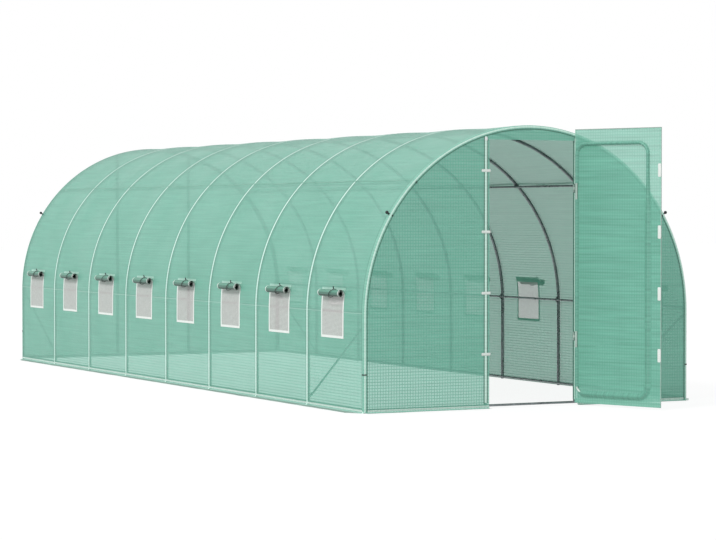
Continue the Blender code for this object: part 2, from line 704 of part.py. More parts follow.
for old in list(bpy.data.objects):
    bpy.data.objects.remove(old, do_unlink=True)
parts = bpy.data.collections.new("tunnel_greenhouse")
tools = bpy.data.collections.new("cutters")
bpy.context.scene.collection.children.link(parts)
bpy.context.scene.collection.children.link(tools)
galvanised = colour_of("galvanised steel", (0.62, 0.64, 0.64), 0.42, 1.0)
green_fabric = colour_of("green grid fabric", (0.24, 0.56, 0.43), 0.55, 0.0)
white_tape = colour_of("white hook tape", (0.86, 0.88, 0.86), 0.75, 0.0)

make_hoops()
make_beams()
make_ground_rails()
make_braces()
make_posts()
make_cover()
make_end_walls()
make_post_straps()
make_flap_rolls()
make_door()
make_hinge_brackets()
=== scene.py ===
# Tunnel greenhouse, dressed: a grid-fabric cover stretched over galvanised hoops, sixteen
# netted windows with rolled-up flaps, and a framed fabric door that stands open.
# Metres, +Z up; X runs across the tunnel and +Y from the doorway to the rear wall.

import json
import math

import bmesh
import bpy
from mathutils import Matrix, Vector, noise


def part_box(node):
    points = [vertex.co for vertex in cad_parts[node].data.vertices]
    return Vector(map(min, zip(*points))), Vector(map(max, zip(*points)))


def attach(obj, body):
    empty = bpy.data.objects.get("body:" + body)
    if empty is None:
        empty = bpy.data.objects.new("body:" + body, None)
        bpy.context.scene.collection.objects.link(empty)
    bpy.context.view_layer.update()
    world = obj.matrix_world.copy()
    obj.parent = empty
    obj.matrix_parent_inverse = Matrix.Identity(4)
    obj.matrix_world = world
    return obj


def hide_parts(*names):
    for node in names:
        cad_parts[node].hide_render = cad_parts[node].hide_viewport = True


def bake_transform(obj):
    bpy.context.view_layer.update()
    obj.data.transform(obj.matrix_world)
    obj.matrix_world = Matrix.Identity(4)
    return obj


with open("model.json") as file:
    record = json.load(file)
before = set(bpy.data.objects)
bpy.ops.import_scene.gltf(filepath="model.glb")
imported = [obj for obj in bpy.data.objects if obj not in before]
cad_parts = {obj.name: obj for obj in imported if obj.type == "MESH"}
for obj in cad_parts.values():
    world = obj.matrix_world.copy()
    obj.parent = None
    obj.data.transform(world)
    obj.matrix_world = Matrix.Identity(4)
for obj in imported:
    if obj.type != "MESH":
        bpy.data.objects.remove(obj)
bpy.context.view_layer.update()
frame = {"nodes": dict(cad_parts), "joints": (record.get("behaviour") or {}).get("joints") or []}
nodes = frame["nodes"]
mm = 0.001


def nodeMiddle(name, axis):
    # the middle of a CAD node on one axis
    return sum(getattr(corner, axis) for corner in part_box(name)) / 2


# Sizes that several pieces share
tunnel = {
    "halfWidth": 1.5,  # to the centre of a hoop's leg
    "wallHeight": 0.75,  # where the half circle starts
    "bay": 1.0,
    "bays": 8,
    "hoopRadius": 0.0125,
    "beamRadius": 0.0095,
    "clothGap": 0.0008,  # from a tube's face to the middle of the cloth on it
}
window = {
    "centre": 0.541,  # behind the bay's front hoop
    "width": 0.400,  # over the binding
    "bottom": 0.565,
    "top": 0.968,  # upper edge of the header strip
    "header": 0.045,
    "headerPast": 0.007,  # how far the header strip reaches past the binding
    "binding": 0.020,
}
doorway = {
    "left": -0.388,
    "right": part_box("hinge_bracket_lower")[1].x + 0.0045,  # just clear of the brackets
    "lintel": 2.145,
    "post": 0.420,  # from the middle of the tunnel to each post's centre
}

frontY = nodeMiddle("hoop_1", "y")
rearY = nodeMiddle("hoop_9", "y")
length = rearY - frontY
ends = {"front": (frontY, -1), "rear": (rearY, 1)}  # each end's place and its way outwards
tubeReach = tunnel["hoopRadius"] + tunnel["clothGap"]
coverRadius = tunnel["halfWidth"] + tubeReach
halfPath = tunnel["wallHeight"] + coverRadius * math.pi / 2  # from the ground to the ridge
sides = {"left": -1, "right": 1}
sharpEdge = 38  # degrees; edges of hard parts above this stay sharp
quads = {  # greatest lengths of the quads in the smaller sheets
    "along": 0.05,  # a strip
    "across": 0.01,
    "hoop": 0.04,  # along the binding of an end hoop
    "folded": 0.006,  # across what is folded or pressed against a tube
    "round": 0.004,  # round a tube
    "window": 0.02,
    "hung": 0.012,
}


# Colours, nodes and meshes


def linear(colour):
    # sRGB hex to the linear colour that the shaders take
    channels = [int(colour[place:place + 2], 16) / 255 for place in (0, 2, 4)]
    channels = [c / 12.92 if c <= 0.04045 else ((c + 0.055) / 1.055) ** 2.4 for c in channels]
    return (*channels, 1.0)


def newMaterial(name):
    material = bpy.data.materials.new(name)
    material.use_nodes = True
    material.node_tree.nodes.clear()
    return material, material.node_tree


def addNode(tree, kind, sockets=None, **settings):
    # a node with its settings; a socket takes a value, a hex colour, another node's output, or
    # a node, whose first output in use is linked
    node = tree.nodes.new(kind)
    for name, value in settings.items():
        setattr(node, name, value)
    inUse = {socket.name: socket for socket in reversed(node.inputs) if socket.enabled}
    for name, value in (sockets or {}).items():
        socket = inUse[name] if isinstance(name, str) else node.inputs[name]
        if isinstance(value, bpy.types.Node):
            value = next(output for output in value.outputs if output.enabled)
        if isinstance(value, bpy.types.NodeSocket):
            tree.links.new(value, socket)
        else:
            socket.default_value = linear(value) if isinstance(value, str) else value
    return node


def meshPiece(name, points, faces, materials, uvs=None):
    # a smooth mesh object; uvs holds one place in metres for each point
    mesh = bpy.data.meshes.new(name)
    mesh.from_pydata(points, [], faces)
    if uvs:
        layer = mesh.uv_layers.new(name="metres")
        for loop in mesh.loops:
            layer.data[loop.index].uv = uvs[loop.vertex_index]
    for material in materials:
        mesh.materials.append(material)
    mesh.shade_smooth()
    piece = bpy.data.objects.new(name, mesh)
    bpy.context.scene.collection.objects.link(piece)
    return piece


def stops(marks, longest):
    # the marks, with even steps between them that are no longer than this
    line = [marks[0]]
    for start, end in zip(marks, marks[1:]):
        count = max(1, math.ceil((end - start) / longest - 1e-6))
        line += [start + (end - start) * step / count for step in range(1, count + 1)]
    return line


def sheetPiece(
    name, across, along, place, materials, keep=None, middle=(0.0, 0.0), sideways=False, paint=None
):
    # one surface of quads whose two measures, in metres from the middle, are also its UV map;
    # a strip that is narrow in its second measure is mapped sideways, for its stitches; keep
    # says which quads are there, and paint gives the number of the material at a place
    used = {}
    points, uvs, faces, paints = [], [], [], []

    def corner(column, row):
        if (column, row) not in used:
            used[column, row] = len(points)
            points.append(place(across[column], along[row]))
            uv = across[column] - middle[0], along[row] - middle[1]
            uvs.append(uv[::-1] if sideways else uv)
        return used[column, row]

    for row in range(len(along) - 1):
        for column in range(len(across) - 1):
            centre = (across[column] + across[column + 1]) / 2, (along[row] + along[row + 1]) / 2
            if keep is None or keep(*centre):
                ring = (column, row), (column + 1, row), (column + 1, row + 1), (column, row + 1)
                faces.append([corner(*at) for at in ring])
                paints.append(paint(*centre) if paint else 0)
    piece = meshPiece(name, points, faces, materials, uvs)
    piece.data.polygons.foreach_set("material_index", paints)
    return piece


def tubePiece(name, points, radius, material, closed=False, sides=16):
    # a round tube along a line of points
    curve = bpy.data.curves.new(name, "CURVE")
    curve.dimensions = "3D"
    curve.bevel_depth = radius
    curve.bevel_resolution = sides // 2 - 2
    curve.use_fill_caps = not closed
    spline = curve.splines.new("POLY")
    spline.points.add(len(points) - 1)
    for point, at in zip(spline.points, points):
        point.co = (*at, 1.0)
    spline.use_cyclic_u = closed
    curve.materials.append(material)
    piece = bpy.data.objects.new(name, curve)
    bpy.context.scene.collection.objects.link(piece)
    return piece


def addTurned(shape, start, axis, profile, sides=16):
    # a turned form added to a shape; profile holds ways along the axis and their radii
    axis = Vector(axis).normalized()
    across = axis.orthogonal().normalized()
    beside = axis.cross(across)
    points, faces = shape
    first = len(points)
    for along, radius in profile:
        for step in range(sides):
            angle = 2 * math.pi * step / sides
            out = across * math.cos(angle) + beside * math.sin(angle)
            points.append(Vector(start) + axis * along + out * radius)
    for ring in range(len(profile) - 1):
        here = first + ring * sides
        for step in range(sides):
            after = (step + 1) % sides
            faces.append((here + step, here + after, here + sides + after, here + sides + step))
    faces.append(list(range(first, first + sides))[::-1])
    faces.append(list(range(len(points) - sides, len(points))))


def addPlate(shape, line, side, half, thick):
    # a plate bent along a line of points, half its width to each side, added to a shape
    side = Vector(side).normalized()
    points, faces = shape
    first = len(points)
    for number, point in enumerate(line):
        before, after = line[max(number - 1, 0)], line[min(number + 1, len(line) - 1)]
        out = side.cross(after - before).normalized() * (thick / 2)
        for width, depth in ((-1, -1), (1, -1), (1, 1), (-1, 1)):
            points.append(point + side * (half * width) + out * depth)
    for number in range(len(line) - 1):
        here = first + number * 4
        for corner in range(4):
            after = (corner + 1) % 4
            faces.append((here + corner, here + 4 + corner, here + 4 + after, here + after))
    faces.append(list(range(first, first + 4)))
    faces.append(list(range(len(points) - 4, len(points)))[::-1])


def rideOn(body, slot, *pieces):
    for piece in pieces:
        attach(piece, body)


def hardPiece(name, shape, material, slot, body="tunnel"):
    # small hard parts in one mesh, smooth but for their edges
    piece = meshPiece(name, *shape, [material])
    whole = bmesh.new()
    whole.from_mesh(piece.data)
    bmesh.ops.recalc_face_normals(whole, faces=whole.faces)
    whole.to_mesh(piece.data)
    whole.free()
    piece.data.set_sharp_from_angle(angle=math.radians(sharpEdge))
    rideOn(body, slot, piece)
    return piece


def smoothStep(value, low, high):
    share = min(1.0, max(0.0, (value - low) / (high - low)))
    return share * share * (3 - 2 * share)


def softNoise(x, y, waves, layer):
    # smooth noise in two measures, with so many waves to a metre of each; the layer only keeps
    # one noise apart from another
    return noise.noise(Vector((x * waves[0], y * waves[1], layer)))


# Camera, light and floor

print("camera, light and floor")
view = {
    "place": (-10.114, -20.4255, 1.548),
    "tilt": 88.69,  # degrees up from looking straight down
    "turn": -26.99,
    "lens": 122.2,
    "sensor": 36.0,
    "farthest": 200.0,
}
camera = bpy.data.objects.new("camera", bpy.data.cameras.new("camera"))
bpy.context.scene.collection.objects.link(camera)
camera.location = view["place"]
camera.rotation_euler = (math.radians(view["tilt"]), 0, math.radians(view["turn"]))
camera.data.lens = view["lens"]
camera.data.sensor_width = view["sensor"]
camera.data.clip_end = view["farthest"]
bpy.context.scene.camera = camera
bpy.context.scene.view_settings.view_transform = "Standard"

light = {
    "keyFrom": (-0.80, -0.30, 0.75),
    "keyStrength": 1.5,
    "keyAngle": 14.0,  # degrees across, for soft shadows
    "fill": 0.68,  # of the world, for everything that isn't seen straight
}
key = bpy.data.objects.new("key_light", bpy.data.lights.new("key_light", "SUN"))
bpy.context.scene.collection.objects.link(key)
key.rotation_euler = Vector(light["keyFrom"]).to_track_quat("Z", "Y").to_euler()
key.data.energy = light["keyStrength"]
key.data.angle = math.radians(light["keyAngle"])


def seenStraight(tree):
    # 1 for what the camera sees, or sees in a gloss or through a clear thing, 0 for light on it
    rays = addNode(tree, "ShaderNodeLightPath").outputs
    either = addNode(
        tree, "ShaderNodeMath", {0: rays["Is Camera Ray"], 1: rays["Is Glossy Ray"]}, operation="MAXIMUM"
    )
    return addNode(
        tree, "ShaderNodeMath", {0: either, 1: rays["Is Transmission Ray"]}, operation="MAXIMUM"
    )


world = bpy.data.worlds.new("white_studio")
world.use_nodes = True
world.node_tree.nodes.clear()
bpy.context.scene.world = world
tree = world.node_tree
strength = addNode(
    tree, "ShaderNodeMapRange", {"Value": seenStraight(tree), "To Min": light["fill"], "To Max": 1.0}
)
glow = addNode(tree, "ShaderNodeBackground", {"Color": "ffffff", "Strength": strength})
addNode(tree, "ShaderNodeOutputWorld", {"Surface": glow})

# Matt painted floor: plain and pale, with no shine. The glow that only the camera sees brings it
# to white and leaves the object's shadow.
studio = {
    "paint": "dcdcdc",  # in the light that the floor throws back at the object
    "seen": "6c6c6c",  # as the camera sees it, under the glow
    "glow": 0.88,
    "half": 80.0,
    "drop": 0.001,  # below the object, so that the two never share a face
}
studioFloor, tree = newMaterial("plain studio floor")
bounce = addNode(tree, "ShaderNodeBsdfDiffuse", {"Color": studio["paint"]})
dim = addNode(tree, "ShaderNodeBsdfDiffuse", {"Color": studio["seen"]})
floorGlow = addNode(tree, "ShaderNodeEmission", {"Strength": studio["glow"]})
white = addNode(tree, "ShaderNodeAddShader", {0: dim, 1: floorGlow})
shown = addNode(tree, "ShaderNodeMixShader", {"Fac": seenStraight(tree), 1: bounce, 2: white})
addNode(tree, "ShaderNodeOutputMaterial", {"Surface": shown})

corners = [(x * studio["half"], y * studio["half"], 0) for x, y in ((-1, -1), (1, -1), (1, 1), (-1, 1))]
floor = meshPiece("floor", corners, [(0, 1, 2, 3)], [studioFloor])
floor.location.z = -studio["drop"]


# Materials

print("materials")
noiseRange = {"From Min": 0.3, "From Max": 0.7}  # most of a noise texture lies between these
stitches = {
    "thread": "eef6f1",
    "fromMiddle": 7.5 * mm,  # two rows, this far to each side of a strip's middle
    "length": 8.0 * mm,  # real ones are 4 mm long and 0.5 mm thick; drawn coarse enough to show
    "thickness": 2.2 * mm,
    "gap": 0.35,  # share of a stitch's length
}


def gridLines(tree, split, pitch, solid, gone):
    # 1 on the threads of a square grid, 0 between them; solid and gone are shares of the pitch
    lines = []
    for axis in ("X", "Y"):
        turns = addNode(
            tree, "ShaderNodeMath", {0: split.outputs[axis], 1: 1 / pitch}, operation="MULTIPLY"
        )
        wave = addNode(tree, "ShaderNodeMath", {0: turns, 1: 0.5}, operation="PINGPONG")
        line = addNode(
            tree,
            "ShaderNodeMapRange",
            {"Value": wave, "From Min": solid, "From Max": gone, "To Min": 1.0, "To Max": 0.0},
            interpolation_type="SMOOTHSTEP",
        )
        lines.append(line)
    return addNode(tree, "ShaderNodeMath", {0: lines[0], 1: lines[1]}, operation="MAXIMUM")


def stitchLines(tree, split):
    # 1 on two rows of stitches that run along a strip
    size = stitches["length"]
    fromMiddle = addNode(tree, "ShaderNodeMath", {0: split.outputs["X"]}, operation="ABSOLUTE")
    inRow = addNode(
        tree,
        "ShaderNodeMath",
        {0: fromMiddle, 1: stitches["fromMiddle"], 2: stitches["thickness"] / 2},
        operation="COMPARE",
    )
    turns = addNode(tree, "ShaderNodeMath", {0: split.outputs["Y"], 1: size}, operation="PINGPONG")
    dash = addNode(
        tree, "ShaderNodeMath", {0: turns, 1: size * stitches["gap"]}, operation="GREATER_THAN"
    )
    return addNode(tree, "ShaderNodeMath", {0: inRow, 1: dash}, operation="MULTIPLY")


# Woven PE grid fabric: a scrim of strong threads between two clear green films. The eye sees
# pale mint, partly clear, with a square grid of denser threads and a soft shine.
gridFabric = {
    "colours": ("92d4c0", "82c9b3", "67b29b"),  # film, its deeper patches, threads
    "clear": (0.35, 0.13),  # share seen through the film and through the threads
    "tint": "def3ed",  # of what is seen through it
    "pitch": 24 * mm,  # real threads lie 8 to 10 mm apart; drawn coarse enough to show
    "threadWidth": 5.5 * mm,
    "relief": 1.2 * mm,  # of the threads
    "patch": 588 * mm,  # size of the film's cloudy patches
    "ripple": (625 * mm, 29.4 * mm),  # length and width of the fine ripples across the length
    "rippleTone": (0.92, 1.05),  # how dark and how light the ripples are: painted shade and painted highlight of fine wrinkles
    "roughness": 0.42,
    "litThrough": 0.03,  # share of the light that comes out on the other side
    "gloss": 0.6,
    "sheen": 0.15,
    "hoopBand": 0.0,  # half width of the painted marks at each hoop: a painted highlight of the zinc through the tight cloth, and painted shade in a crease beside it
    "bandFade": (0.3, 0.6),  # shares of it at which the painted highlight is whole and ends
    "creaseFade": (0.95, 1.35),  # the same for the painted shade in the crease beside it
    "beamLine": 0.0,  # strength of the faint painted highlight over each side beam
    "beamFade": (1 * mm, 6 * mm),
    # colours of the painted highlight and of the painted shade
    "paleBand": "dcfff3",
    "darkBand": "4d8f79",
    "darkShare": 0.45,  # how strongly the painted shade in the crease shows
    "stillClear": {"crease": 1.0, "band": 0.35, "beam": 0.8, "stitch": 0.0},  # share that stays clear
    "stitched": False,
}
beamPath = halfPath - nodeMiddle("side_beam_left", "z")  # where a side beam lies, from the ridge


def fabricMaterial(name, changes):
    look = {**gridFabric, **changes}
    film, deepFilm, yarn = look["colours"]
    material, tree = newMaterial(name)
    place = addNode(tree, "ShaderNodeUVMap", uv_map="metres")
    split = addNode(tree, "ShaderNodeSeparateXYZ", {0: place})
    width = look["threadWidth"] / look["pitch"] / 2
    thread = gridLines(tree, split, look["pitch"], width * 0.6, width * 1.5)

    # uneven film, in soft patches; the fine ripples add painted shade and painted highlight of fine wrinkles
    patches = addNode(
        tree, "ShaderNodeTexNoise", {"Vector": place, "Scale": 1 / look["patch"], "Detail": 3.0}
    )
    scale = [1 / size for size in look["ripple"]]
    stretch = addNode(tree, "ShaderNodeMapping", {"Vector": place, "Scale": (*scale, 1.0)})
    ripples = addNode(tree, "ShaderNodeTexNoise", {"Vector": stretch, "Scale": 1.0, "Detail": 2.0})
    colour = addNode(
        tree, "ShaderNodeMix", {"Factor": patches, "A": film, "B": deepFilm}, data_type="RGBA"
    )
    colour = addNode(
        tree, "ShaderNodeMix", {"Factor": thread, "A": colour, "B": yarn}, data_type="RGBA"
    )
    low, high = look["rippleTone"]
    # painted light and shade of the fine ripples
    tone = addNode(
        tree, "ShaderNodeMapRange", {"Value": ripples, **noiseRange, "To Min": low, "To Max": high}
    )
    colour = addNode(tree, "ShaderNodeVectorMath", {0: colour, "Scale": tone}, operation="SCALE")
    clear, threadClear = look["clear"]
    see = addNode(
        tree, "ShaderNodeMapRange", {"Value": thread, "To Min": clear, "To Max": threadClear}
    )
    uneven = addNode(
        tree, "ShaderNodeMapRange", {"Value": patches, **noiseRange, "To Min": 0.94, "To Max": 1.05}
    )
    see = addNode(tree, "ShaderNodeMath", {0: see, 1: uneven}, operation="MULTIPLY")

    # marks, painted shade and painted highlight beside and over the tubes: the way from a tube, where the
    # mark is whole and where it ends, its strength and colour, and the share of the clearness that stays
    clearing = look["stillClear"]
    fading = []
    if look["hoopBand"]:
        fromHoop = addNode(
            tree, "ShaderNodeMath", {0: split.outputs["X"], 1: tunnel["bay"] / 2}, operation="PINGPONG"
        )
        # first the painted shade in a crease beside each hoop, then the painted highlight over it
        for fade, most, paint, share in (
            (look["creaseFade"], look["darkShare"], look["darkBand"], clearing["crease"]),
            (look["bandFade"], 1.0, look["paleBand"], clearing["band"]),
        ):
            whole, gone = [look["hoopBand"] * way for way in fade]
            fading.append((fromHoop, whole, gone, most, paint, share))
    if look["beamLine"]:
        # a faint painted highlight over each side beam
        down = addNode(tree, "ShaderNodeMath", {0: split.outputs["Y"]}, operation="ABSOLUTE")
        past = addNode(tree, "ShaderNodeMath", {0: down, 1: beamPath}, operation="SUBTRACT")
        fromBeam = addNode(tree, "ShaderNodeMath", {0: past}, operation="ABSOLUTE")
        faint = look["beamLine"], look["paleBand"], clearing["beam"]
        fading.append((fromBeam, *look["beamFade"], *faint))
    marks = []
    for away, whole, gone, most, paint, share in fading:
        mark = addNode(
            tree,
            "ShaderNodeMapRange",
            {"Value": away, "From Min": whole, "From Max": gone, "To Min": most, "To Max": 0.0},
            interpolation_type="SMOOTHSTEP",
        )
        marks.append((mark, paint, share))
    if look["stitched"]:
        marks.append((stitchLines(tree, split), stitches["thread"], clearing["stitch"]))
    for mark, paint, share in marks:
        colour = addNode(
            tree, "ShaderNodeMix", {"Factor": mark, "A": colour, "B": paint}, data_type="RGBA"
        )
        dull = addNode(tree, "ShaderNodeMapRange", {"Value": mark, "To Min": 1.0, "To Max": share})
        see = addNode(tree, "ShaderNodeMath", {0: see, 1: dull}, operation="MULTIPLY")

    height = addNode(tree, "ShaderNodeMath", {0: ripples, 1: 0.35, 2: thread}, operation="MULTIPLY_ADD")
    bump = addNode(
        tree, "ShaderNodeBump", {"Height": height, "Distance": look["relief"], "Strength": 0.5}
    )
    smooth, worn = look["roughness"] - 0.08, look["roughness"] + 0.12
    rough = addNode(tree, "ShaderNodeMapRange", {"Value": patches, "To Min": smooth, "To Max": worn})
    front = addNode(
        tree,
        "ShaderNodeBsdfPrincipled",
        {
            "Base Color": colour,
            "Roughness": rough,
            "IOR": 1.5,
            "Specular IOR Level": look["gloss"],
            "Sheen Weight": look["sheen"],
            "Sheen Roughness": 0.4,
            "Normal": bump,
        },
    )
    behind = addNode(tree, "ShaderNodeBsdfTranslucent", {"Color": colour, "Normal": bump})
    own = addNode(tree, "ShaderNodeMixShader", {"Fac": look["litThrough"], 1: front, 2: behind})
    hole = addNode(tree, "ShaderNodeBsdfTransparent", {"Color": look["tint"]})
    cloth = addNode(tree, "ShaderNodeMixShader", {"Fac": see, 1: own, 2: hole})
    addNode(tree, "ShaderNodeOutputMaterial", {"Surface": cloth})
    return material


# How the same fabric differs from place to place, with what each gives the eye
fabricLooks = {
    # painted highlight over each hoop, with painted shade in a crease beside it, and a faint painted
    # highlight over the side beams
    "cover": {"hoopBand": 26 * mm, "beamLine": 0.30},
    "end walls": {},  # just as it is woven
    # looser and more rippled, with stronger painted shade and highlight on its ripples, and weaker threads
    "door": {
        "colours": ("8fcdbb", "7fc3ad", "71b8a2"), "clear": (0.29, 0.23), "rippleTone": (0.85, 1.10),
    },
    # nearly white and closed, with two rows of stitches; the headers are greener
    "doubled hem": {"colours": ("eafaf4", "def4eb", "d0ebe1"), "clear": (0.04, 0.02), "stitched": True},
    "window header": {"colours": ("b3e2d3", "a5d7c6", "97ccb9"), "clear": (0.10, 0.05), "stitched": True},
    # darker, where two widths lie over each other
    "lapped seam": {"colours": ("7fbfab", "71b19c", "65a590"), "clear": (0.12, 0.06)},
    # painted highlight, palest where the light runs along a tube; a turned edge is duller
    "painted highlight on a tube": {"colours": ("e4fff5", "d9faec", "cff3e4"), "clear": (0.03, 0.02)},
    "turned over a tube": {"colours": ("94d3bf", "88c8b3", "7cbda8"), "clear": (0.14, 0.07)},
    # painted shade: dark green, with no shine
    "painted shade, dark green": {
        "colours": ("4f8473", "457a69", "3d705f"), "clear": (0.03, 0.02), "sheen": 0.05,
    },
    # grey and nearly closed: painted shade where the cloth lies on the ground
    "skirt of the cover, in painted shade": {
        "colours": ("8fa99f", "829d92", "779287"), "clear": (0.06, 0.03), "hoopBand": 26 * mm,
    },
    "skirt of a wall, in painted shade": {"colours": ("8fa99f", "829d92", "779287"), "clear": (0.06, 0.03)},
    # lighter than the skin that it borders
    "thin edge": {"colours": ("b9e6d7", "a9dccb", "98d1bd"), "clear": (0.45, 0.30)},
    # grey thread, close together
    "overlocked edge": {"colours": ("b0b8b5", "a4adaa", "98a29e"), "clear": (0.10, 0.05)},
    # deep green and glossy, since many turns lie over each other; painted shade below and inside
    "rolled": {
        "colours": ("4ea489", "3f9378", "338169"), "clear": (0.02, 0.01), "litThrough": 0.05,
        "roughness": 0.30, "gloss": 0.9,
    },
    "painted shade under a roll": {
        "colours": ("215545", "1b4a3b", "163f32"), "clear": (0.02, 0.01), "sheen": 0.05,
    },
    "painted shade inside a roll": {
        "colours": ("1c3a32", "16302a", "122823"), "clear": (0.0, 0.0), "litThrough": 0.02,
    },
}
fabric = {
    place: fabricMaterial(f"PE grid fabric, {place}", changes) for place, changes in fabricLooks.items()
}

# Zinc on steel, hot-dipped or plated: a grey metal with a spangle and slow changes of tone
zincCoat = {
    "roughness": 0.36,
    "metallic": 0.5,
    "spangle": 3 * mm,
    "cloud": 111 * mm,  # size of the slow changes of tone
    "relief": 0.4 * mm,
}
steelLooks = {
    # hot-dipped tube: a dull grey metal with a larger, faint spangle; its darker grey is partly painted
    # shade, for tubes seen against the lit cloth
    "galvanised steel": {
        "light": "8c9294", "dark": "565c5e", "roughness": 0.24, "metallic": 0.9, "spangle": 12 * mm,
    },
    # electroplated fittings: brighter and more even
    "zinc-plated steel": {"light": "eef2f1", "dark": "d9dfde"},
    # plated hinges, a matt mid grey, with a painted green cast of the cloth round them
    "matt zinc plate in painted green light": {"light": "a3b8af", "dark": "8aa298", "roughness": 0.50, "metallic": 0.3},
    # plated and pale, with a painted green reflection of the cloth beside it
    "zinc plate of the leaf's frame": {"light": "c2d2ca", "dark": "abbab3"},
}


def steelMaterial(name, changes):
    look = {**zincCoat, **changes}
    material, tree = newMaterial(name)
    place = addNode(tree, "ShaderNodeTexCoord").outputs["Object"]
    spangle = addNode(tree, "ShaderNodeTexVoronoi", {"Vector": place, "Scale": 1 / look["spangle"]})
    cloudy = addNode(
        tree, "ShaderNodeTexNoise", {"Vector": place, "Scale": 1 / look["cloud"], "Detail": 4.0}
    )
    grain = addNode(
        tree,
        "ShaderNodeMath",
        {0: spangle.outputs["Color"], 1: 0.5, 2: cloudy},
        operation="MULTIPLY_ADD",
    )
    tone = addNode(tree, "ShaderNodeMapRange", {"Value": grain, "From Min": 0.35, "From Max": 1.1})
    colour = addNode(
        tree, "ShaderNodeMix", {"Factor": tone, "A": look["dark"], "B": look["light"]}, data_type="RGBA"
    )
    smooth, worn = look["roughness"] - 0.06, look["roughness"] + 0.1
    rough = addNode(tree, "ShaderNodeMapRange", {"Value": grain, "To Min": smooth, "To Max": worn})
    bump = addNode(
        tree, "ShaderNodeBump", {"Height": cloudy, "Distance": look["relief"], "Strength": 0.3}
    )
    metal = addNode(
        tree,
        "ShaderNodeBsdfPrincipled",
        {"Base Color": colour, "Metallic": look["metallic"], "Roughness": rough, "Normal": bump},
    )
    addNode(tree, "ShaderNodeOutputMaterial", {"Surface": metal})
    return material


steel = {name: steelMaterial(name, changes) for name, changes in steelLooks.items()}

# White polyester tape, woven: matt, off-white, with fine slanting ribs.
tape = {
    "yarn": "f6f9f6",
    "shade": "e6ece7",
    "stitch": "c8d2cc",
    "rib": 8.8 * mm,  # from rib to rib along the tape; real ones are 1 mm, drawn coarse to show
    "worn": 45.5 * mm,  # size of the slightly greyer patches
    "roughness": 0.8,
}
waveLength = 2 * math.pi / 10  # of a wave texture's bands at scale 1


def tapeMaterial(name, stitched):
    material, tree = newMaterial(name)
    place = addNode(tree, "ShaderNodeUVMap", uv_map="metres")
    ribs = addNode(
        tree,
        "ShaderNodeTexWave",
        {"Vector": place, "Scale": waveLength / tape["rib"], "Distortion": 0.6, "Detail": 1.0},
        bands_direction="DIAGONAL",
    )
    worn = addNode(
        tree, "ShaderNodeTexNoise", {"Vector": place, "Scale": 1 / tape["worn"], "Detail": 3.0}
    )
    colour = addNode(
        tree, "ShaderNodeMix", {"Factor": worn, "A": tape["yarn"], "B": tape["shade"]}, data_type="RGBA"
    )
    height = ribs.outputs[1]
    if stitched:
        rows = stitchLines(tree, addNode(tree, "ShaderNodeSeparateXYZ", {0: place}))
        colour = addNode(
            tree, "ShaderNodeMix", {"Factor": rows, "A": colour, "B": tape["stitch"]}, data_type="RGBA"
        )
        height = addNode(tree, "ShaderNodeMath", {0: rows, 1: -2.0, 2: height}, operation="MULTIPLY_ADD")
    bump = addNode(tree, "ShaderNodeBump", {"Height": height, "Distance": 0.4 * mm, "Strength": 0.5})
    weave = addNode(
        tree,
        "ShaderNodeBsdfPrincipled",
        {
            "Base Color": colour,
            "Roughness": tape["roughness"],
            "Specular IOR Level": 0.25,
            "Normal": bump,
        },
    )
    addNode(tree, "ShaderNodeOutputMaterial", {"Surface": weave})
    return material


whiteTape = tapeMaterial("white polyester tape", False)
hookTape = tapeMaterial("white hook tape, sewn on", True)

# Polyester insect net, woven: a fine grey mesh, more seen through than seen.
net = {
    "yarn": "dbdbd9",
    "yarnDark": "c8c5c3",
    "pitch": 10 * mm,  # a real mesh is about 1 mm; drawn coarse enough to show
    "clear": (0.46, 0.10),  # share seen through the holes and through the yarn
    "worn": 33.3 * mm,
    "roughness": 0.75,
}


def netMaterial(name):
    material, tree = newMaterial(name)
    place = addNode(tree, "ShaderNodeUVMap", uv_map="metres")
    split = addNode(tree, "ShaderNodeSeparateXYZ", {0: place})
    yarn = gridLines(tree, split, net["pitch"], 0.08, 0.25)
    worn = addNode(
        tree, "ShaderNodeTexNoise", {"Vector": place, "Scale": 1 / net["worn"], "Detail": 2.0}
    )
    colour = addNode(
        tree, "ShaderNodeMix", {"Factor": worn, "A": net["yarn"], "B": net["yarnDark"]}, data_type="RGBA"
    )
    clear, yarnClear = net["clear"]
    see = addNode(tree, "ShaderNodeMapRange", {"Value": yarn, "To Min": clear, "To Max": yarnClear})
    bump = addNode(tree, "ShaderNodeBump", {"Height": yarn, "Distance": 0.5 * mm, "Strength": 0.5})
    front = addNode(
        tree,
        "ShaderNodeBsdfPrincipled",
        {"Base Color": colour, "Roughness": net["roughness"], "Specular IOR Level": 0.2, "Normal": bump},
    )
    hole = addNode(tree, "ShaderNodeBsdfTransparent")
    mesh = addNode(tree, "ShaderNodeMixShader", {"Fac": see, 1: front, 2: hole})
    addNode(tree, "ShaderNodeOutputMaterial", {"Surface": mesh})
    return material


insectNet = netMaterial("polyester insect net")

# Black moulded nylon of knobs, clips and toggles: near black, slightly greyed by weather.
nylon = {
    "black": "0c0f10",
    "grey": "1b2021",
    "roughness": 0.50,
    "dust": 16.7 * mm,  # size of the greyed patches
}


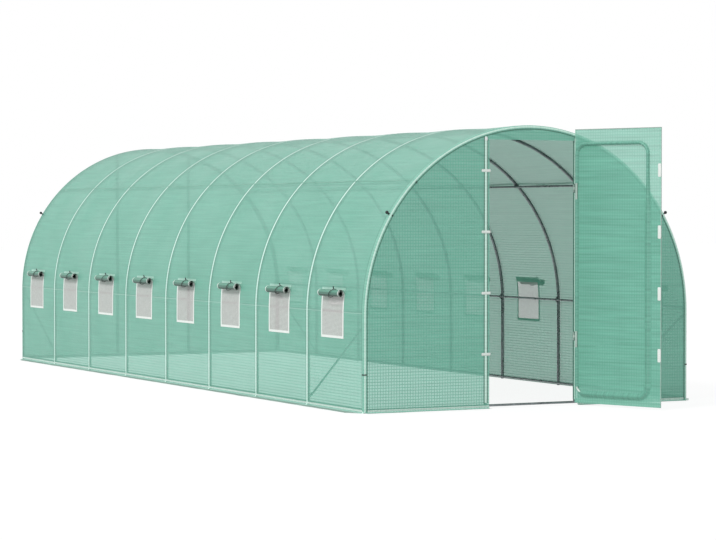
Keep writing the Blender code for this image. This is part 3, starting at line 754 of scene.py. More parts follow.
def nylonMaterial(name):
    material, tree = newMaterial(name)
    place = addNode(tree, "ShaderNodeTexCoord").outputs["Object"]
    dust = addNode(
        tree, "ShaderNodeTexNoise", {"Vector": place, "Scale": 1 / nylon["dust"], "Detail": 3.0}
    )
    colour = addNode(
        tree, "ShaderNodeMix", {"Factor": dust, "A": nylon["black"], "B": nylon["grey"]}, data_type="RGBA"
    )
    smooth, worn = nylon["roughness"] - 0.08, nylon["roughness"] + 0.16
    rough = addNode(tree, "ShaderNodeMapRange", {"Value": dust, "To Min": smooth, "To Max": worn})
    bump = addNode(tree, "ShaderNodeBump", {"Height": dust, "Distance": 0.2 * mm, "Strength": 0.4})
    plastic = addNode(
        tree, "ShaderNodeBsdfPrincipled", {"Base Color": colour, "Roughness": rough, "Normal": bump}
    )
    addNode(tree, "ShaderNodeOutputMaterial", {"Surface": plastic})
    return material


blackNylon = nylonMaterial("black moulded nylon")


# Cover

print("cover")
cover = {
    "apron": 0.100,  # cloth lying outwards on the ground, from the upright cloth
    "bend": 0.014,  # radius where it turns out
    "sag": 0.0075,  # inwards, halfway between two hoops
    "wallSag": 0.004,
    "wrinkle": 0.0022,
    "step": 0.040,
    "seam": 0.012,  # width of the lap where the roof meets a side, over the upper beam
    "hem": (0.010, 0.024),  # doubled strip over the ground rail
    "mitre": (1.3, 2.7),  # front and rear corners of the lying cloth are cut back, per metre out
    "hemLift": 0.0012,
    "lies": 0.0004,  # height of the cloth's middle on the ground
    "softWaves": (1.4, 2.2),  # to a metre along the tunnel and up the cloth
    "fineWaves": (2.3, 11.0),
    "fineShare": 0.35,
    "sideWaves": (3.0, 4.0),  # of the lying cloth
    "upWaves": (6.0, 9.0),
    "held": 0.12,  # height below which the ground rail keeps the cloth from rippling
    "sagGrows": (-0.15, 0.5),  # from the top of the wall, where wallSag turns into sag
    "ruffle": (0.006, 0.0032),  # sideways and upwards, of the lying cloth
    "ruffleGrows": (0.01, 0.09),  # outwards, where it starts and where it is whole
    "groundStep": (0.020, 0.005),  # of the quads that lie, and of those in the bend
}
bendFoot = cover["bend"] - cover["bend"] * math.pi / 2  # way up at which the cloth lies flat


def pathPoint(path, lift):
    # a place on the cover's section: path runs over the ridge from left to right, 0 at the ridge
    side = 1 if path >= 0 else -1
    rise = halfPath - abs(path)
    if rise > tunnel["wallHeight"]:
        angle = (rise - tunnel["wallHeight"]) / coverRadius
        reach = coverRadius + lift
        return side * reach * math.cos(angle), tunnel["wallHeight"] + reach * math.sin(angle)
    wall = coverRadius + lift
    bend = cover["bend"]
    if rise >= bend:
        return side * wall, rise
    if rise >= bendFoot:
        angle = (bend - rise) / bend
        return side * (wall + bend * (1 - math.cos(angle))), bend * (1 - math.sin(angle))
    flat = min(bendFoot - rise, cover["apron"])
    return side * (coverRadius + bend + flat), cover["lies"]


def coverPoint(along, path, lift=0.0):
    # along: metres behind the front hoop; beyond either end the cloth turns round the tube
    rise = halfPath - abs(path)
    past = max(-along, along - length, 0.0)
    turn = min(past / tubeReach, math.pi / 2)
    lying = max(0.0, bendFoot - rise)
    inside = min(max(along, cover["mitre"][0] * lying), length - cover["mitre"][1] * lying)
    slack = math.sin(math.pi * inside / tunnel["bay"]) ** 2  # none at a hoop, most between two
    roof = smoothStep(rise, *[tunnel["wallHeight"] + way for way in cover["sagGrows"]])
    sag = (cover["wallSag"] + (cover["sag"] - cover["wallSag"]) * roof) * slack
    soft = softNoise(along, path, cover["softWaves"], 3.1) * slack
    fine = softNoise(along, path, cover["fineWaves"], 7.7) * slack * cover["fineShare"]
    free = smoothStep(rise, 0.0, cover["held"])
    push = (cover["wrinkle"] * (soft + fine) - sag) * free
    x, z = pathPoint(path, lift + push - tubeReach * (1 - math.cos(turn)))
    y = frontY + inside
    if past:
        y += (-1 if along < 0 else 1) * tubeReach * math.sin(turn)
    if rise < 0:
        sideways, upwards = cover["ruffle"]
        out = smoothStep(-rise, *cover["ruffleGrows"])
        x += math.copysign(sideways * softNoise(along, path, cover["sideWaves"], 1.9) * out, path)
        z += upwards * out * (0.5 + 0.5 * softNoise(along, path, cover["upWaves"], 5.3))
    return Vector((x, y, z))


def arcRise(height):
    # the way up along the cloth to this height
    above = height - tunnel["wallHeight"]
    if above <= 0:
        return height
    return tunnel["wallHeight"] + coverRadius * math.asin(above / coverRadius)


netHalf = window["width"] / 2 - window["binding"]
netBottom = window["bottom"] + window["binding"]
netTop = arcRise(window["top"] - window["header"])
windowTop = arcRise(window["top"])


def makeCover():
    wrap = tubeReach * math.pi / 2
    marks = [-wrap, 0.0]
    for bay in range(tunnel["bays"]):
        centre = bay * tunnel["bay"] + window["centre"]
        marks += [centre - netHalf, centre + netHalf, (bay + 1) * tunnel["bay"]]
    marks.append(length + wrap)
    turns = [wrap * step / 4 for step in (1, 2, 3)]  # round the end hoops in four steps
    across = {*stops(marks, cover["step"]), *[-turn for turn in turns], *[length + turn for turn in turns]}
    across = sorted(across)
    edge = bendFoot - cover["apron"] + cover["bend"]
    lyingStep, bendStep = cover["groundStep"]
    rises = stops([edge, bendFoot], lyingStep)[:-1]
    rises += stops([bendFoot, cover["bend"]], bendStep)[:-1]
    rises += stops([cover["bend"], netBottom, tunnel["wallHeight"], netTop, halfPath], cover["step"])
    along = [rise - halfPath for rise in rises] + [halfPath - rise for rise in rises[-2::-1]]

    def keep(place, path):
        rise = halfPath - abs(path)
        if not netBottom < rise < netTop:
            return True
        return abs(place % tunnel["bay"] - window["centre"]) > netHalf

    # the cloth that lies on the ground takes the skirt's painted shade
    sheet = sheetPiece(
        "cover_sheet", across, along, coverPoint,
        [fabric["cover"], fabric["skirt of the cover, in painted shade"]], keep,
        paint=lambda place, path: int(halfPath - abs(path) < bendFoot),
    )
    rideOn("tunnel", "green_grid_fabric", sheet)
    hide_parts("cover_left", "cover_roof", "cover_right")
    return sheet, (length + 2 * wrap, along[-1] - along[0])


def makeCoverStrips():
    # the laps over the upper beams and the doubled strips above the ground
    upper = tunnel["wallHeight"] + coverRadius * math.pi / 4
    marks = [bay * tunnel["bay"] for bay in range(tunnel["bays"] + 1)]
    strips = []
    for side, way in sides.items():
        half = cover["seam"] / 2
        for name, low, high, material in (
            ("cover_seam", upper - half, upper + half, fabric["lapped seam"]),
            ("ground_hem", *cover["hem"], fabric["doubled hem"]),
        ):
            strip = sheetPiece(
                f"{name}_{side}",
                stops(marks, quads["along"]),
                stops([low, high], quads["across"]),
                lambda place, rise: coverPoint(place, way * (halfPath - rise), cover["hemLift"]),
                [material],
                middle=(0, (low + high) / 2),
                sideways=True,
            )
            rideOn("tunnel", "green_grid_fabric", strip)
            strips.append(strip)
    return strips


# End walls, with the binding round each end hoop

endWall = {
    "apron": 0.058,
    "puff": 0.004,  # outwards, between the tubes
    "outwards": 0.5,  # keeps most of the puff outwards
    "softWaves": (1.5, 1.9),  # to a metre across and up
    "fineWaves": (2.5, 10.0),
    "fineShare": 0.3,
    "puffGrows": 0.35,  # from the hoop, over which the puff grows to its whole depth
    "postHolds": (0.05, 0.25),  # from a post, where it holds the cloth in and where it no longer does
    "ruffle": 0.0030,  # upwards, of the lying cloth
    "ruffleWaves": (5.0, 8.0),
    "ruffleGrows": (0.005, 0.05),  # outwards, where it starts and where it is whole
    "pastHoop": 0.012,  # quads that start this far outside are still there, pulled in to the hoop
    "step": 0.045,
    "groundStep": 0.015,
    "binding": (-0.020, -0.012, -0.004, 0.008),  # painted shade in a crease, a fold, painted highlight over the hoop, a fold
    "bindingFoot": 0.004,  # above the ground
    "onCover": 0.014,
    "lift": 0.0013,
    "above": 0.045,  # height at which the cloth over a post starts
    "below": 0.020,  # how far below the hoop it ends
    "wrap": (-130, -45, 0, 35),  # degrees round the hinge-side post: painted shade in a crease, painted highlight on the tight cloth, a fold
    "postHem": 0.0105,  # half the width of the painted highlight over a post
    # width of the painted shade beside it
    "postCrease": 0.008,
    "postBulge": 0.0015,
    "hingeGap": 0.036,  # half the opening in the wrap round the hinge-side post
    "hem": (0.010, 0.024),
}
overPost = math.sqrt(tunnel["halfWidth"] ** 2 - doorway["post"] ** 2)
postTop = tunnel["wallHeight"] + overPost - endWall["below"]


def wallPoint(end, x, rise, lift=0.0):
    # a place on an end wall, held in by the hoop round its edge
    endY, outwards = ends[end]
    radius = tunnel["halfWidth"]
    above = rise - tunnel["wallHeight"]
    reach = math.hypot(x, above) if above > 0 else abs(x)
    if above > 0 and reach > radius:
        x, above = x * radius / reach, above * radius / reach
        rise = tunnel["wallHeight"] + above
    edge = smoothStep(radius - reach, 0.0, endWall["puffGrows"])
    post = smoothStep(abs(abs(x) - doorway["post"]), *endWall["postHolds"])
    soft = endWall["outwards"] + softNoise(x, rise, endWall["softWaves"], 4.2 * outwards)
    fine = endWall["fineShare"] * softNoise(x, rise, endWall["fineWaves"], 8.1)
    free = smoothStep(rise, 0.0, cover["held"])
    push = endWall["puff"] * max(0.0, soft + fine) * edge * post * free
    out = tubeReach + lift + push
    bend = cover["bend"]
    z = rise
    if rise < bendFoot:
        out, z = tubeReach + bend + (bendFoot - rise), cover["lies"]
        ruffle = 0.5 + 0.5 * softNoise(x, rise, endWall["ruffleWaves"], 2.6)
        z += endWall["ruffle"] * smoothStep(bendFoot - rise, *endWall["ruffleGrows"]) * ruffle
    elif rise < bend:
        angle = (bend - rise) / bend
        out, z = out + bend * (1 - math.cos(angle)), bend * (1 - math.sin(angle))
    return Vector((x, endY + outwards * out, z))


def hoopPlace(measure):
    # a place this far along a hoop's middle line from its left foot, and the way outwards there
    radius, leg = tunnel["halfWidth"], tunnel["wallHeight"]
    over = math.pi * radius
    if measure <= leg:
        return Vector((-radius, 0, measure)), Vector((-1, 0, 0))
    if measure >= leg + over:
        return Vector((radius, 0, 2 * leg + over - measure)), Vector((1, 0, 0))
    angle = math.pi - (measure - leg) / radius
    out = Vector((math.cos(angle), 0, math.sin(angle)))
    return Vector((0, 0, leg)) + out * radius, out


def edgePoint(end, across, measure, lift):
    # on the turned edge at an end hoop: across runs from the wall round the tube to the cover
    endY, outwards = ends[end]
    place, out = hoopPlace(measure)
    reach = tubeReach + lift
    turn = min(max(across / reach, 0.0), math.pi / 2)
    place = place + out * (reach * math.sin(turn) + min(across, 0.0))
    place.y = endY + outwards * (reach * math.cos(turn) - max(across - reach * math.pi / 2, 0.0))
    return place


def makeBinding(end):
    # the wall's edge round the end hoop: painted shade in a crease, a fold, a painted highlight on the tight
    # cloth and a fold on the cover
    leg = tunnel["wallHeight"]
    over = math.pi * tunnel["halfWidth"]
    quarter = (tubeReach + endWall["lift"]) * math.pi / 2
    start, crease, fold, outer = endWall["binding"]
    foot = endWall["bindingFoot"]

    def paint(across, measure):
        if across < crease:
            return 1
        return 0 if fold < across < outer else 2

    return sheetPiece(
        f"end_binding_{end}",
        stops([start, crease, fold, 0, outer, quarter, quarter + endWall["onCover"]], quads["folded"]),
        stops([foot, leg, leg + over, 2 * leg + over - foot], quads["hoop"]),
        lambda across, measure: edgePoint(end, across, measure, endWall["lift"]),
        [fabric["painted highlight on a tube"], fabric["painted shade, dark green"], fabric["turned over a tube"]],
        paint=paint,
    )


def makePostHem(end, side):
    # a painted highlight where a post presses against the wall, with painted shade beside it
    x = sides[side] * doorway["post"]
    half = endWall["postHem"]
    whole = half + endWall["postCrease"]

    def place(across, height):
        bulge = endWall["postBulge"] * max(0.0, 1 - (across / half) ** 2)
        return wallPoint(end, x + across, height, endWall["lift"] + bulge)

    return sheetPiece(
        f"post_hem_{end}_{side}",
        stops([-whole, -half, half, whole], quads["folded"]),
        stops([endWall["above"], postTop], quads["along"]),
        place,
        [fabric["painted highlight on a tube"], fabric["painted shade, dark green"]],
        paint=lambda across, height: int(abs(across) > half),
    )


def makePostWrap(end):
    # on the hinge side the wall's edge is wrapped round the post, and open at the hinges; it has painted
    # shade in a crease and a painted highlight on the tight cloth
    reach = tubeReach + cover["lies"]
    brackets = sorted(nodeMiddle(name, "z") for name in nodes if name.startswith("hinge"))
    start, tight, fold, finish = [math.radians(turn) * reach for turn in endWall["wrap"]]
    gap = endWall["hingeGap"]
    heights = [endWall["above"]]
    for height in brackets:
        heights += [height - gap, height + gap]

    def place(across, height):
        angle = across / reach
        x = doorway["post"] + reach * math.sin(angle)
        return Vector((x, frontY - reach * math.cos(angle), height))

    return sheetPiece(
        f"post_wrap_{end}",
        stops([start, tight, fold, finish], quads["round"]),
        stops([*heights, postTop], quads["along"]),
        place,
        [fabric["painted shade, dark green"], fabric["painted highlight on a tube"], fabric["turned over a tube"]],
        keep=lambda across, height: all(abs(height - at) > gap for at in brackets),
        paint=lambda across, height: 2 if across > fold else int(across > tight),
    )


def makeWallStrips(end, openings):
    # binding round the hoop, painted highlight over the posts, doubled strips above the ground
    strips = [makeBinding(end), makePostHem(end, "left")]
    strips.append(makePostWrap(end) if openings else makePostHem(end, "right"))
    low, high = endWall["hem"]
    inner = tunnel["halfWidth"] - endWall["below"]
    spans = {"left": (-inner, doorway["left"]), "right": (doorway["right"], inner)}
    for side, span in (spans if openings else {"whole": (-inner, inner)}).items():
        strips.append(
            sheetPiece(
                f"ground_hem_{end}_{side}",
                stops(span, quads["along"]),
                stops([low, high], quads["across"]),
                lambda x, rise: wallPoint(end, x, rise, endWall["lift"]),
                [fabric["doubled hem"]],
                middle=(0, (low + high) / 2),
                sideways=True,
            )
        )
    rideOn("tunnel", "green_grid_fabric", *strips)
    return strips


def makeEndWall(end, openings):
    radius = tunnel["halfWidth"]
    top = tunnel["wallHeight"] + radius
    marks = [-radius, radius]
    if openings:
        marks += [doorway["left"], doorway["right"]]
    across = stops(sorted(marks), endWall["step"])
    along = stops([bendFoot - endWall["apron"] + cover["bend"], bendFoot], endWall["groundStep"])[:-1]
    along += stops([bendFoot, cover["bend"]], cover["groundStep"][1])[:-1]
    along += stops([cover["bend"], tunnel["wallHeight"], doorway["lintel"], top], endWall["step"])

    def keep(x, rise):
        above = max(0.0, rise - tunnel["wallHeight"])
        if math.hypot(x, above) > radius + endWall["pastHoop"]:
            return False
        inDoorway = doorway["left"] < x < doorway["right"] and rise < doorway["lintel"]
        return not (openings and inDoorway)

    # the cloth that lies on the ground takes the skirt's painted shade
    sheet = sheetPiece(
        f"{end}_wall_sheet", across, along, lambda x, rise: wallPoint(end, x, rise),
        [fabric["end walls"], fabric["skirt of a wall, in painted shade"]], keep,
        paint=lambda x, rise: int(rise < bendFoot),
    )
    rideOn("tunnel", "green_grid_fabric", sheet)
    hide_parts(f"{end}_wall")
    area = 2 * radius * (tunnel["wallHeight"] - along[0]) + math.pi * radius**2 / 2
    if openings:
        area -= (doorway["right"] - doorway["left"]) * (doorway["lintel"] - along[0])
    return sheet, (2 * radius, top - along[0]), area


coverSheet, coverCut = makeCover()
makeCoverStrips()
print("end walls")

hookStrip = {
    "thick": 0.0012,
    "corner": 0.10,  # how much a corner is rounded off, as a share
    "from": (0.75, 0.85),  # shares of the half width where the edge turns down and a corner starts
    "rim": 0.9,  # share of it where the outermost quads start
    "step": 0.008,
    "overHem": 0.0006,  # from the cloth over the left post to the strap on it
    "onDoor": (0.015, 0.0019),  # half its width on the door, and its way out from the skin
}


def makeHookTape(name, node, halfAcross, halfAlong, place):
    # a flat piece of white tape with rounded corners and edges, sewn down
    def shaped(across, along):
        shares = abs(across) / halfAcross, abs(along) / halfAlong
        edge = smoothStep(max(shares), edgeFrom, 1.0)
        shrink = 1 - hookStrip["corner"] * smoothStep(min(shares), cornerFrom, 1.0)
        return place(across * shrink, along * shrink, hookStrip["thick"] * (1 - edge))

    edgeFrom, cornerFrom = hookStrip["from"]
    rim = hookStrip["rim"]
    across, along = [
        stops([-half, -rim * half, rim * half, half], hookStrip["step"]) for half in (halfAcross, halfAlong)
    ]
    piece = sheetPiece(name, across, along, shaped, [hookTape], sideways=halfAcross >= halfAlong)
    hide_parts(node)
    return piece


def makePostStraps():
    straps = []
    for node in [name for name in nodes if name.startswith("post_strap")]:
        low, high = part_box(node)
        middle = (low + high) / 2
        base = endWall["lift"] + endWall["postBulge"] + hookStrip["overHem"]

        def place(across, along, out):
            return Vector((middle.x + across, frontY - tubeReach - base - out, middle.z + along))

        name = node.replace("post_strap", "post_tape")
        straps.append(makeHookTape(name, node, (high.x - low.x) / 2, (high.z - low.z) / 2, place))
    rideOn("tunnel", "white_hook_tape", *straps)
    return straps


for end, openings in (("front", True), ("rear", False)):
    sheet, flat, area = makeEndWall(end, openings)
    strips = makeWallStrips(end, openings)
    if openings:
        strips += makePostStraps()


# Tube frame and its fittings

print("tube frame")
fitting = {
    "clampHalf": 0.011,  # half a beam clamp's width, along the beam
    "clampThick": 0.0022,
    "clampFoot": 0.014,  # each of its feet on the hoop
    "clampGap": (0.0004, 0.0002),  # from the beam and from the hoop
    "clampBend": 0.001,
    "screwAt": 0.55,  # share of a foot's length
    "clipHalf": 0.004,
    "clipThick": 0.003,
    "clipEnds": (0.010, 0.012),  # past the tube, on the wall and on the cover
    "clipHeight": 0.30,  # of the lowest clips, on the legs
    "knobAngle": 32.0,  # degrees above level, where the arc of an end hoop has its knobs
    "knobOut": 0.022,
    "knobRadius": 0.0135,
    "knobNeck": 0.0045,  # where the ball starts
    "nutAside": 0.012,  # from the hoop's middle line, towards the outside of the end
    "nutIn": 0.008,  # from the hoop's middle line, towards the arc's centre
    "nutTurned": 45.0,  # degrees above level, of the second nut inside the hoop
    "plateHalf": 0.012,
    "plateTall": 0.013,
    "plateThick": 0.0010,
    "plateHeight": 2.150,
    "plateBulge": 0.0006,
    "onCloth": 0.0008,  # from the cloth to the middle of a clip or plate
}
# turned forms: ways along the axis and their radii
domeHead = [(0.0, 0.0062), (0.0016, 0.0062), (0.0030, 0.0048), (0.0038, 0.0020)]
knobFoot = [(0.0, 0.0085), (0.003, 0.0085), (0.004, 0.0045)]
nut = [(0.0, 0.0085), (0.007, 0.0085), (0.008, 0.007)]
zinc = steel["galvanised steel"]


def hoopLine(y, steps=96):
    radius = tunnel["halfWidth"]
    line = [(-radius, y, 0.0)]
    for step in range(steps + 1):
        angle = math.pi * (1 - step / steps)
        line.append((radius * math.cos(angle), y, tunnel["wallHeight"] + radius * math.sin(angle)))
    line.append((radius, y, 0.0))
    return line


def addBeamClamp(shape, beam, y):
    # a strap over the beam with two feet on the hoop's inner face, each with a screw
    x, z = nodeMiddle(beam, "x"), nodeMiddle(beam, "z")
    if z > tunnel["wallHeight"]:
        out = Vector((x, 0, z - tunnel["wallHeight"])).normalized()
    else:
        out = Vector((math.copysign(1, x), 0, 0))
    along = Vector((0, 1, 0)).cross(out)
    centre = Vector((x, y, z))
    overBeam, onHoop = fitting["clampGap"]
    radius = tunnel["beamRadius"] + fitting["clampThick"] / 2 + overBeam
    foot = tunnel["beamRadius"] - fitting["clampThick"] / 2 - onHoop
    tip, bend = radius + fitting["clampFoot"], radius + fitting["clampBend"]
    line = [centre + along * way + out * foot for way in (tip, bend)]
    for degrees in range(0, 181, 15):
        angle = math.radians(degrees)
        line.append(centre + along * (radius * math.cos(angle)) - out * (radius * math.sin(angle)))
    line += [centre - along * way + out * foot for way in (bend, tip)]
    addPlate(shape, line, (0, 1, 0), fitting["clampHalf"], fitting["clampThick"])
    for way in (-1, 1):
        seat = centre + along * (way * (radius + fitting["clampFoot"] * fitting["screwAt"])) + out * foot
        addTurned(shape, seat - out * fitting["clampThick"] / 2, -out, domeHead, 12)


def makeHoops():
    beams = [name for name in nodes if name.endswith(("_beam", "beam_left", "beam_right"))]
    for number in range(tunnel["bays"] + 1):
        y = frontY + number * tunnel["bay"]
        hoop = tubePiece(f"hoop_tube_{number + 1}", hoopLine(y), tunnel["hoopRadius"], zinc)
        rideOn("tunnel", "galvanised_steel", hoop)
        shape = [], []
        for beam in beams:
            addBeamClamp(shape, beam, y)
        clamps = hardPiece(f"beam_clamps_{number + 1}", shape, zinc, "galvanised_steel")
        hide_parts(f"hoop_{number + 1}")
        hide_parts(f"hoop_{number + 1}")


def makeBeams():
    beams = ("side_beam_left", "upper_beam_left", "ridge_beam", "upper_beam_right", "side_beam_right")
    rails = [f"ground_rail_{side}" for side in ("left", "right", "front", "rear")]
    for name in (*beams, *rails):
        low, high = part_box(name)
        middle = (low + high) / 2
        if high.x - low.x > high.y - low.y:
            line = [(low.x, middle.y, middle.z), (high.x, middle.y, middle.z)]
        else:
            line = [(middle.x, low.y, middle.z), (middle.x, high.y, middle.z)]
        beam = tubePiece(f"{name}_tube", line, tunnel["beamRadius"], zinc)
        rideOn("tunnel", "galvanised_steel", beam)
        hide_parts(name)


def makeEndFittings(end):
    # black clips and knobs on an end hoop, and small zinc plates at the posts
    leg = tunnel["wallHeight"]
    over = math.pi * tunnel["halfWidth"]
    lift = endWall["lift"] + fitting["clipThick"] / 2 + fitting["onCloth"]
    quarter = (tubeReach + lift) * math.pi / 2
    clips = [], []
    onWall, onCover = fitting["clipEnds"]
    for measure in (fitting["clipHeight"], 2 * leg + over - fitting["clipHeight"]):
        out = hoopPlace(measure)[1]
        across = stops([-onWall, 0.0, quarter, quarter + onCover], quads["round"])
        line = [edgePoint(end, way, measure, lift) for way in across]
        addPlate(clips, line, out.cross(Vector((0, 1, 0))), fitting["clipHalf"], fitting["clipThick"])
    hardPiece(f"snap_clips_{end}", clips, blackNylon, "galvanised_steel")

    knobs = [], []
    endY, outwards = ends[end]
    radius = fitting["knobRadius"]
    stem = list(knobFoot)
    for degrees in range(30, 181, 15):
        angle = math.radians(degrees)
        along = fitting["knobOut"] - radius * math.cos(angle)
        stem.append((max(along, fitting["knobNeck"]), radius * math.sin(angle)))
    for way in (-1, 1):
        angle = math.radians(fitting["knobAngle"])
        out = Vector((way * math.cos(angle), 0, math.sin(angle)))
        middle = Vector((0, endY, leg)) + out * tunnel["halfWidth"]
        addTurned(knobs, middle + out * (tubeReach + endWall["lift"]), out, stem)
        for spread in (fitting["knobAngle"], fitting["nutTurned"]):
            turn = math.radians(spread)
            inwards = Vector((-way * math.cos(turn), 0, -math.sin(turn)))
            seat = Vector((0, endY + outwards * fitting["nutAside"], leg))
            seat -= inwards * (tunnel["halfWidth"] - fitting["nutIn"])
            addTurned(knobs, seat, inwards, nut, 6)
    hardPiece(f"hoop_knobs_{end}", knobs, blackNylon, "galvanised_steel")

    plates = [], []
    z = fitting["plateHeight"]
    depth = tubeReach + endWall["lift"] + endWall["postBulge"] + fitting["onCloth"]
    for x in (-doorway["post"], doorway["post"]):
        line = []
        for step in range(-4, 5):
            back = fitting["plateBulge"] * (step / 4) ** 2
            aside = step / 4 * fitting["plateHalf"]
            line.append(Vector((x + aside, endY + outwards * (depth - back), z)))
        addPlate(plates, line, (0, 0, 1), fitting["plateTall"], fitting["plateThick"])
        if end == "rear":  # at the front the shut door lies against it
            face = endY + outwards * (depth + fitting["plateThick"] / 2)
            addTurned(plates, (x, face, z), (0, outwards, 0), domeHead, 12)
    hardPiece(f"post_plates_{end}", plates, steel["zinc-plated steel"], "galvanised_steel")


makeHoops()
makeBeams()
for end in ends:
    makeEndFittings(end)

# the finishes of the CAD's own tubes and brackets
finishes = {
    "brace_": "galvanised steel",
    "front_post": "galvanised steel",
    "rear_post": "galvanised steel",
    "hinge_bracket": "matt zinc plate in painted green light",
    "door_frame": "zinc plate of the leaf's frame",
}
for name, node in nodes.items():
    for start, finish in finishes.items():
        if name.startswith(start):
            node.data.materials.clear()
            node.data.materials.append(steel[finish])


# Windows and rolled flaps

print("windows")
flap = {
    "ends": (-0.2025, 0.160),  # from the roll's middle, towards the doorway and the rear
    "core": 0.0115,  # radius of the innermost turn
    "radius": 0.0305,  # of the outermost
    "turns": 3.2,
    "shaded": -0.003,  # below the roll's middle, where painted shade starts on its outer turn
    # below this, the darker painted shade under the roll
    "dark": 0.012,
    "innerTurn": 0.004,  # how much further out than the core the painted shade inside reaches
    "outerTurn": 0.006,  # depth of the outer turn
    "steps": 32,  # in each turn
    "edge": 0.010,  # white binding on the flap's two sides
    "tieRadius": 0.0026,  # of the cord
    "tieReach": 0.0334,  # from the roll's middle to the cord's
    "tieMiddle": -0.055,  # from the roll's middle towards the doorway
    "tieSlant": 0.035,  # how far along the roll the tie runs to each side of its own middle
    "toggle": 0.024,
    "toggleAt": (0.006, 0.002),  # from the top of the tie, outwards and down
    "toggleLean": 0.25,  # outwards for each metre up
    "hangs": 0.944,  # height at which the flap's cloth is sewn to the header strip
    "hangLift": 0.0034,  # over the header strip
}
windowLift = {"binding": 0.0012, "header": 0.0016}  # from the cover's cloth
# the tie's toggle: ways along it and their radii
barrel = [(0.0, 0.0030), (0.001, 0.0042), (0.010, 0.0042), (0.011, 0.0034), (0.013, 0.0034),
          (0.014, 0.0046), (flap["toggle"] - 0.001, 0.0046), (flap["toggle"], 0.0034)]


def patch(name, bay, side, halfWidth, low, high, lift, material, keep=None, step=0.03, **mapped):
    # a piece that lies on the cover at this lift, between two ways up along the cloth
    centre = bay * tunnel["bay"] + window["centre"]
    marks = {low, netBottom, tunnel["wallHeight"], netTop, high}
    return sheetPiece(
        name,
        stops(sorted({-halfWidth, -netHalf, netHalf, halfWidth}), step),
        stops(sorted(mark for mark in marks if low <= mark <= high), step),
        lambda place, rise: coverPoint(centre + place, sides[side] * (halfPath - rise), lift),
        [material],
        keep,
        **mapped,
    )


def makeWindow(side, bay):
    label = f"{side}_{bay + 1}"
    half = window["width"] / 2
    netSheet = patch(f"window_net_{label}", bay, side, netHalf, netBottom, netTop, 0.0, insectNet)
    binding = patch(
        f"window_binding_{label}", bay, side, half, window["bottom"], netTop, windowLift["binding"],
        whiteTape, lambda place, rise: abs(place) > netHalf or rise < netBottom, quads["window"],
    )
    header = patch(
        f"window_header_{label}", bay, side, half + window["headerPast"], netTop, windowTop,
        windowLift["header"], fabric["window header"], None, quads["hung"],
        middle=(0, (netTop + windowTop) / 2), sideways=True,
    )
    rideOn("tunnel", "white_hook_tape", netSheet, binding)
    rideOn("tunnel", "green_grid_fabric", header)


def makeRoll(side, bay):
    label = f"{side}_{bay + 1}"
    body = f"flap_{label}"
    way = sides[side]
    low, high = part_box(f"flap_roll_{label}")
    middle = (low + high) / 2
    count = round(flap["turns"] * flap["steps"])
    measures, radii, angles = [0.0], [flap["core"]], [0.0]
    for step in range(1, count + 1):
        angles.append(2 * math.pi * step / flap["steps"])
        radii.append(flap["core"] + (flap["radius"] - flap["core"]) * step / count)
        measures.append(measures[-1] + (radii[-1] + radii[-2]) / 2 * (angles[-1] - angles[-2]))
    turned = angles[-1] - math.pi  # the cloth leaves the roll on the side of the wall
    spiral = dict(zip(measures, zip(angles, radii)))

    def place(across, measure):
        angle, radius = spiral[measure]
        angle -= turned
        x = middle.x + way * radius * math.cos(angle)
        return Vector((x, middle.y + across, middle.z + radius * math.sin(angle)))

    near, far = flap["ends"]
    across = stops([near, near + flap["edge"], far - flap["edge"], far], quads["window"])
    roll = sheetPiece(
        f"rolled_flap_{label}", across, measures, place,
        [fabric["rolled"], whiteTape, fabric["painted shade inside a roll"], fabric["painted shade, dark green"],
         fabric["painted shade under a roll"]],
    )
    # painted shade: the innermost turns, and the lower side of the outer turn, darker further down
    for face in roll.data.polygons:
        out = math.hypot(face.center.x - middle.x, face.center.z - middle.z)
        below = middle.z - face.center.z
        if out < flap["core"] + flap["innerTurn"]:
            face.material_index = 2
        elif not near + flap["edge"] < face.center.y - middle.y < far - flap["edge"]:
            face.material_index = 1
        elif out > flap["radius"] - flap["outerTurn"] and below > flap["shaded"]:
            face.material_index = 4 if below > flap["dark"] else 3
    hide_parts(f"flap_roll_{label}")

    # a tie of elastic cord, wound slantwise round the roll, and its toggle
    line = []
    for step in range(flap["steps"]):
        angle = 2 * math.pi * step / flap["steps"]
        slant = flap["tieMiddle"] - flap["tieSlant"] * math.sin(angle)
        x = middle.x + way * flap["tieReach"] * math.cos(angle)
        line.append((x, middle.y + slant, middle.z + flap["tieReach"] * math.sin(angle)))
    tie = tubePiece(f"roll_tie_{label}", line, flap["tieRadius"], blackNylon, closed=True, sides=8)
    rideOn(body, "green_grid_fabric", roll, tie)
    shape = [], []
    aside, down = flap["toggleAt"]
    along = middle.y + flap["tieMiddle"] - flap["tieSlant"]
    foot = middle.x + way * aside, along, middle.z + flap["tieReach"] - down
    addTurned(shape, foot, (way * flap["toggleLean"], 0, 1), barrel, 12)
    hardPiece(f"tie_toggle_{label}", shape, blackNylon, "green_grid_fabric", body)

    # the flap's cloth between the header strip and the roll
    centre = bay * tunnel["bay"] + window["centre"]
    foot = Vector((middle.x - way * radii[-1], 0, middle.z))
    start = halfPath - arcRise(flap["hangs"])

    def sewnAt(place):
        return coverPoint(centre + place, way * start, flap["hangLift"])

    def hanging(place, share):
        top = sewnAt(place)
        x = top.x + (foot.x - top.x) * share
        return Vector((x, middle.y + place, top.z + (foot.z - top.z) * share))

    drop = sewnAt(0).z - foot.z
    curtain = sheetPiece(
        f"flap_curtain_{label}", across, stops([0.0, drop], quads["hung"]),
        lambda place, measure: hanging(place, measure / drop), [fabric["end walls"]],
    )
    hanging(0, 0.1)
    hanging(0, 1)
    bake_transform(curtain)


for side in sides:
    for bay in range(tunnel["bays"]):
        makeWindow(side, bay)
        makeRoll(side, bay)


# Door

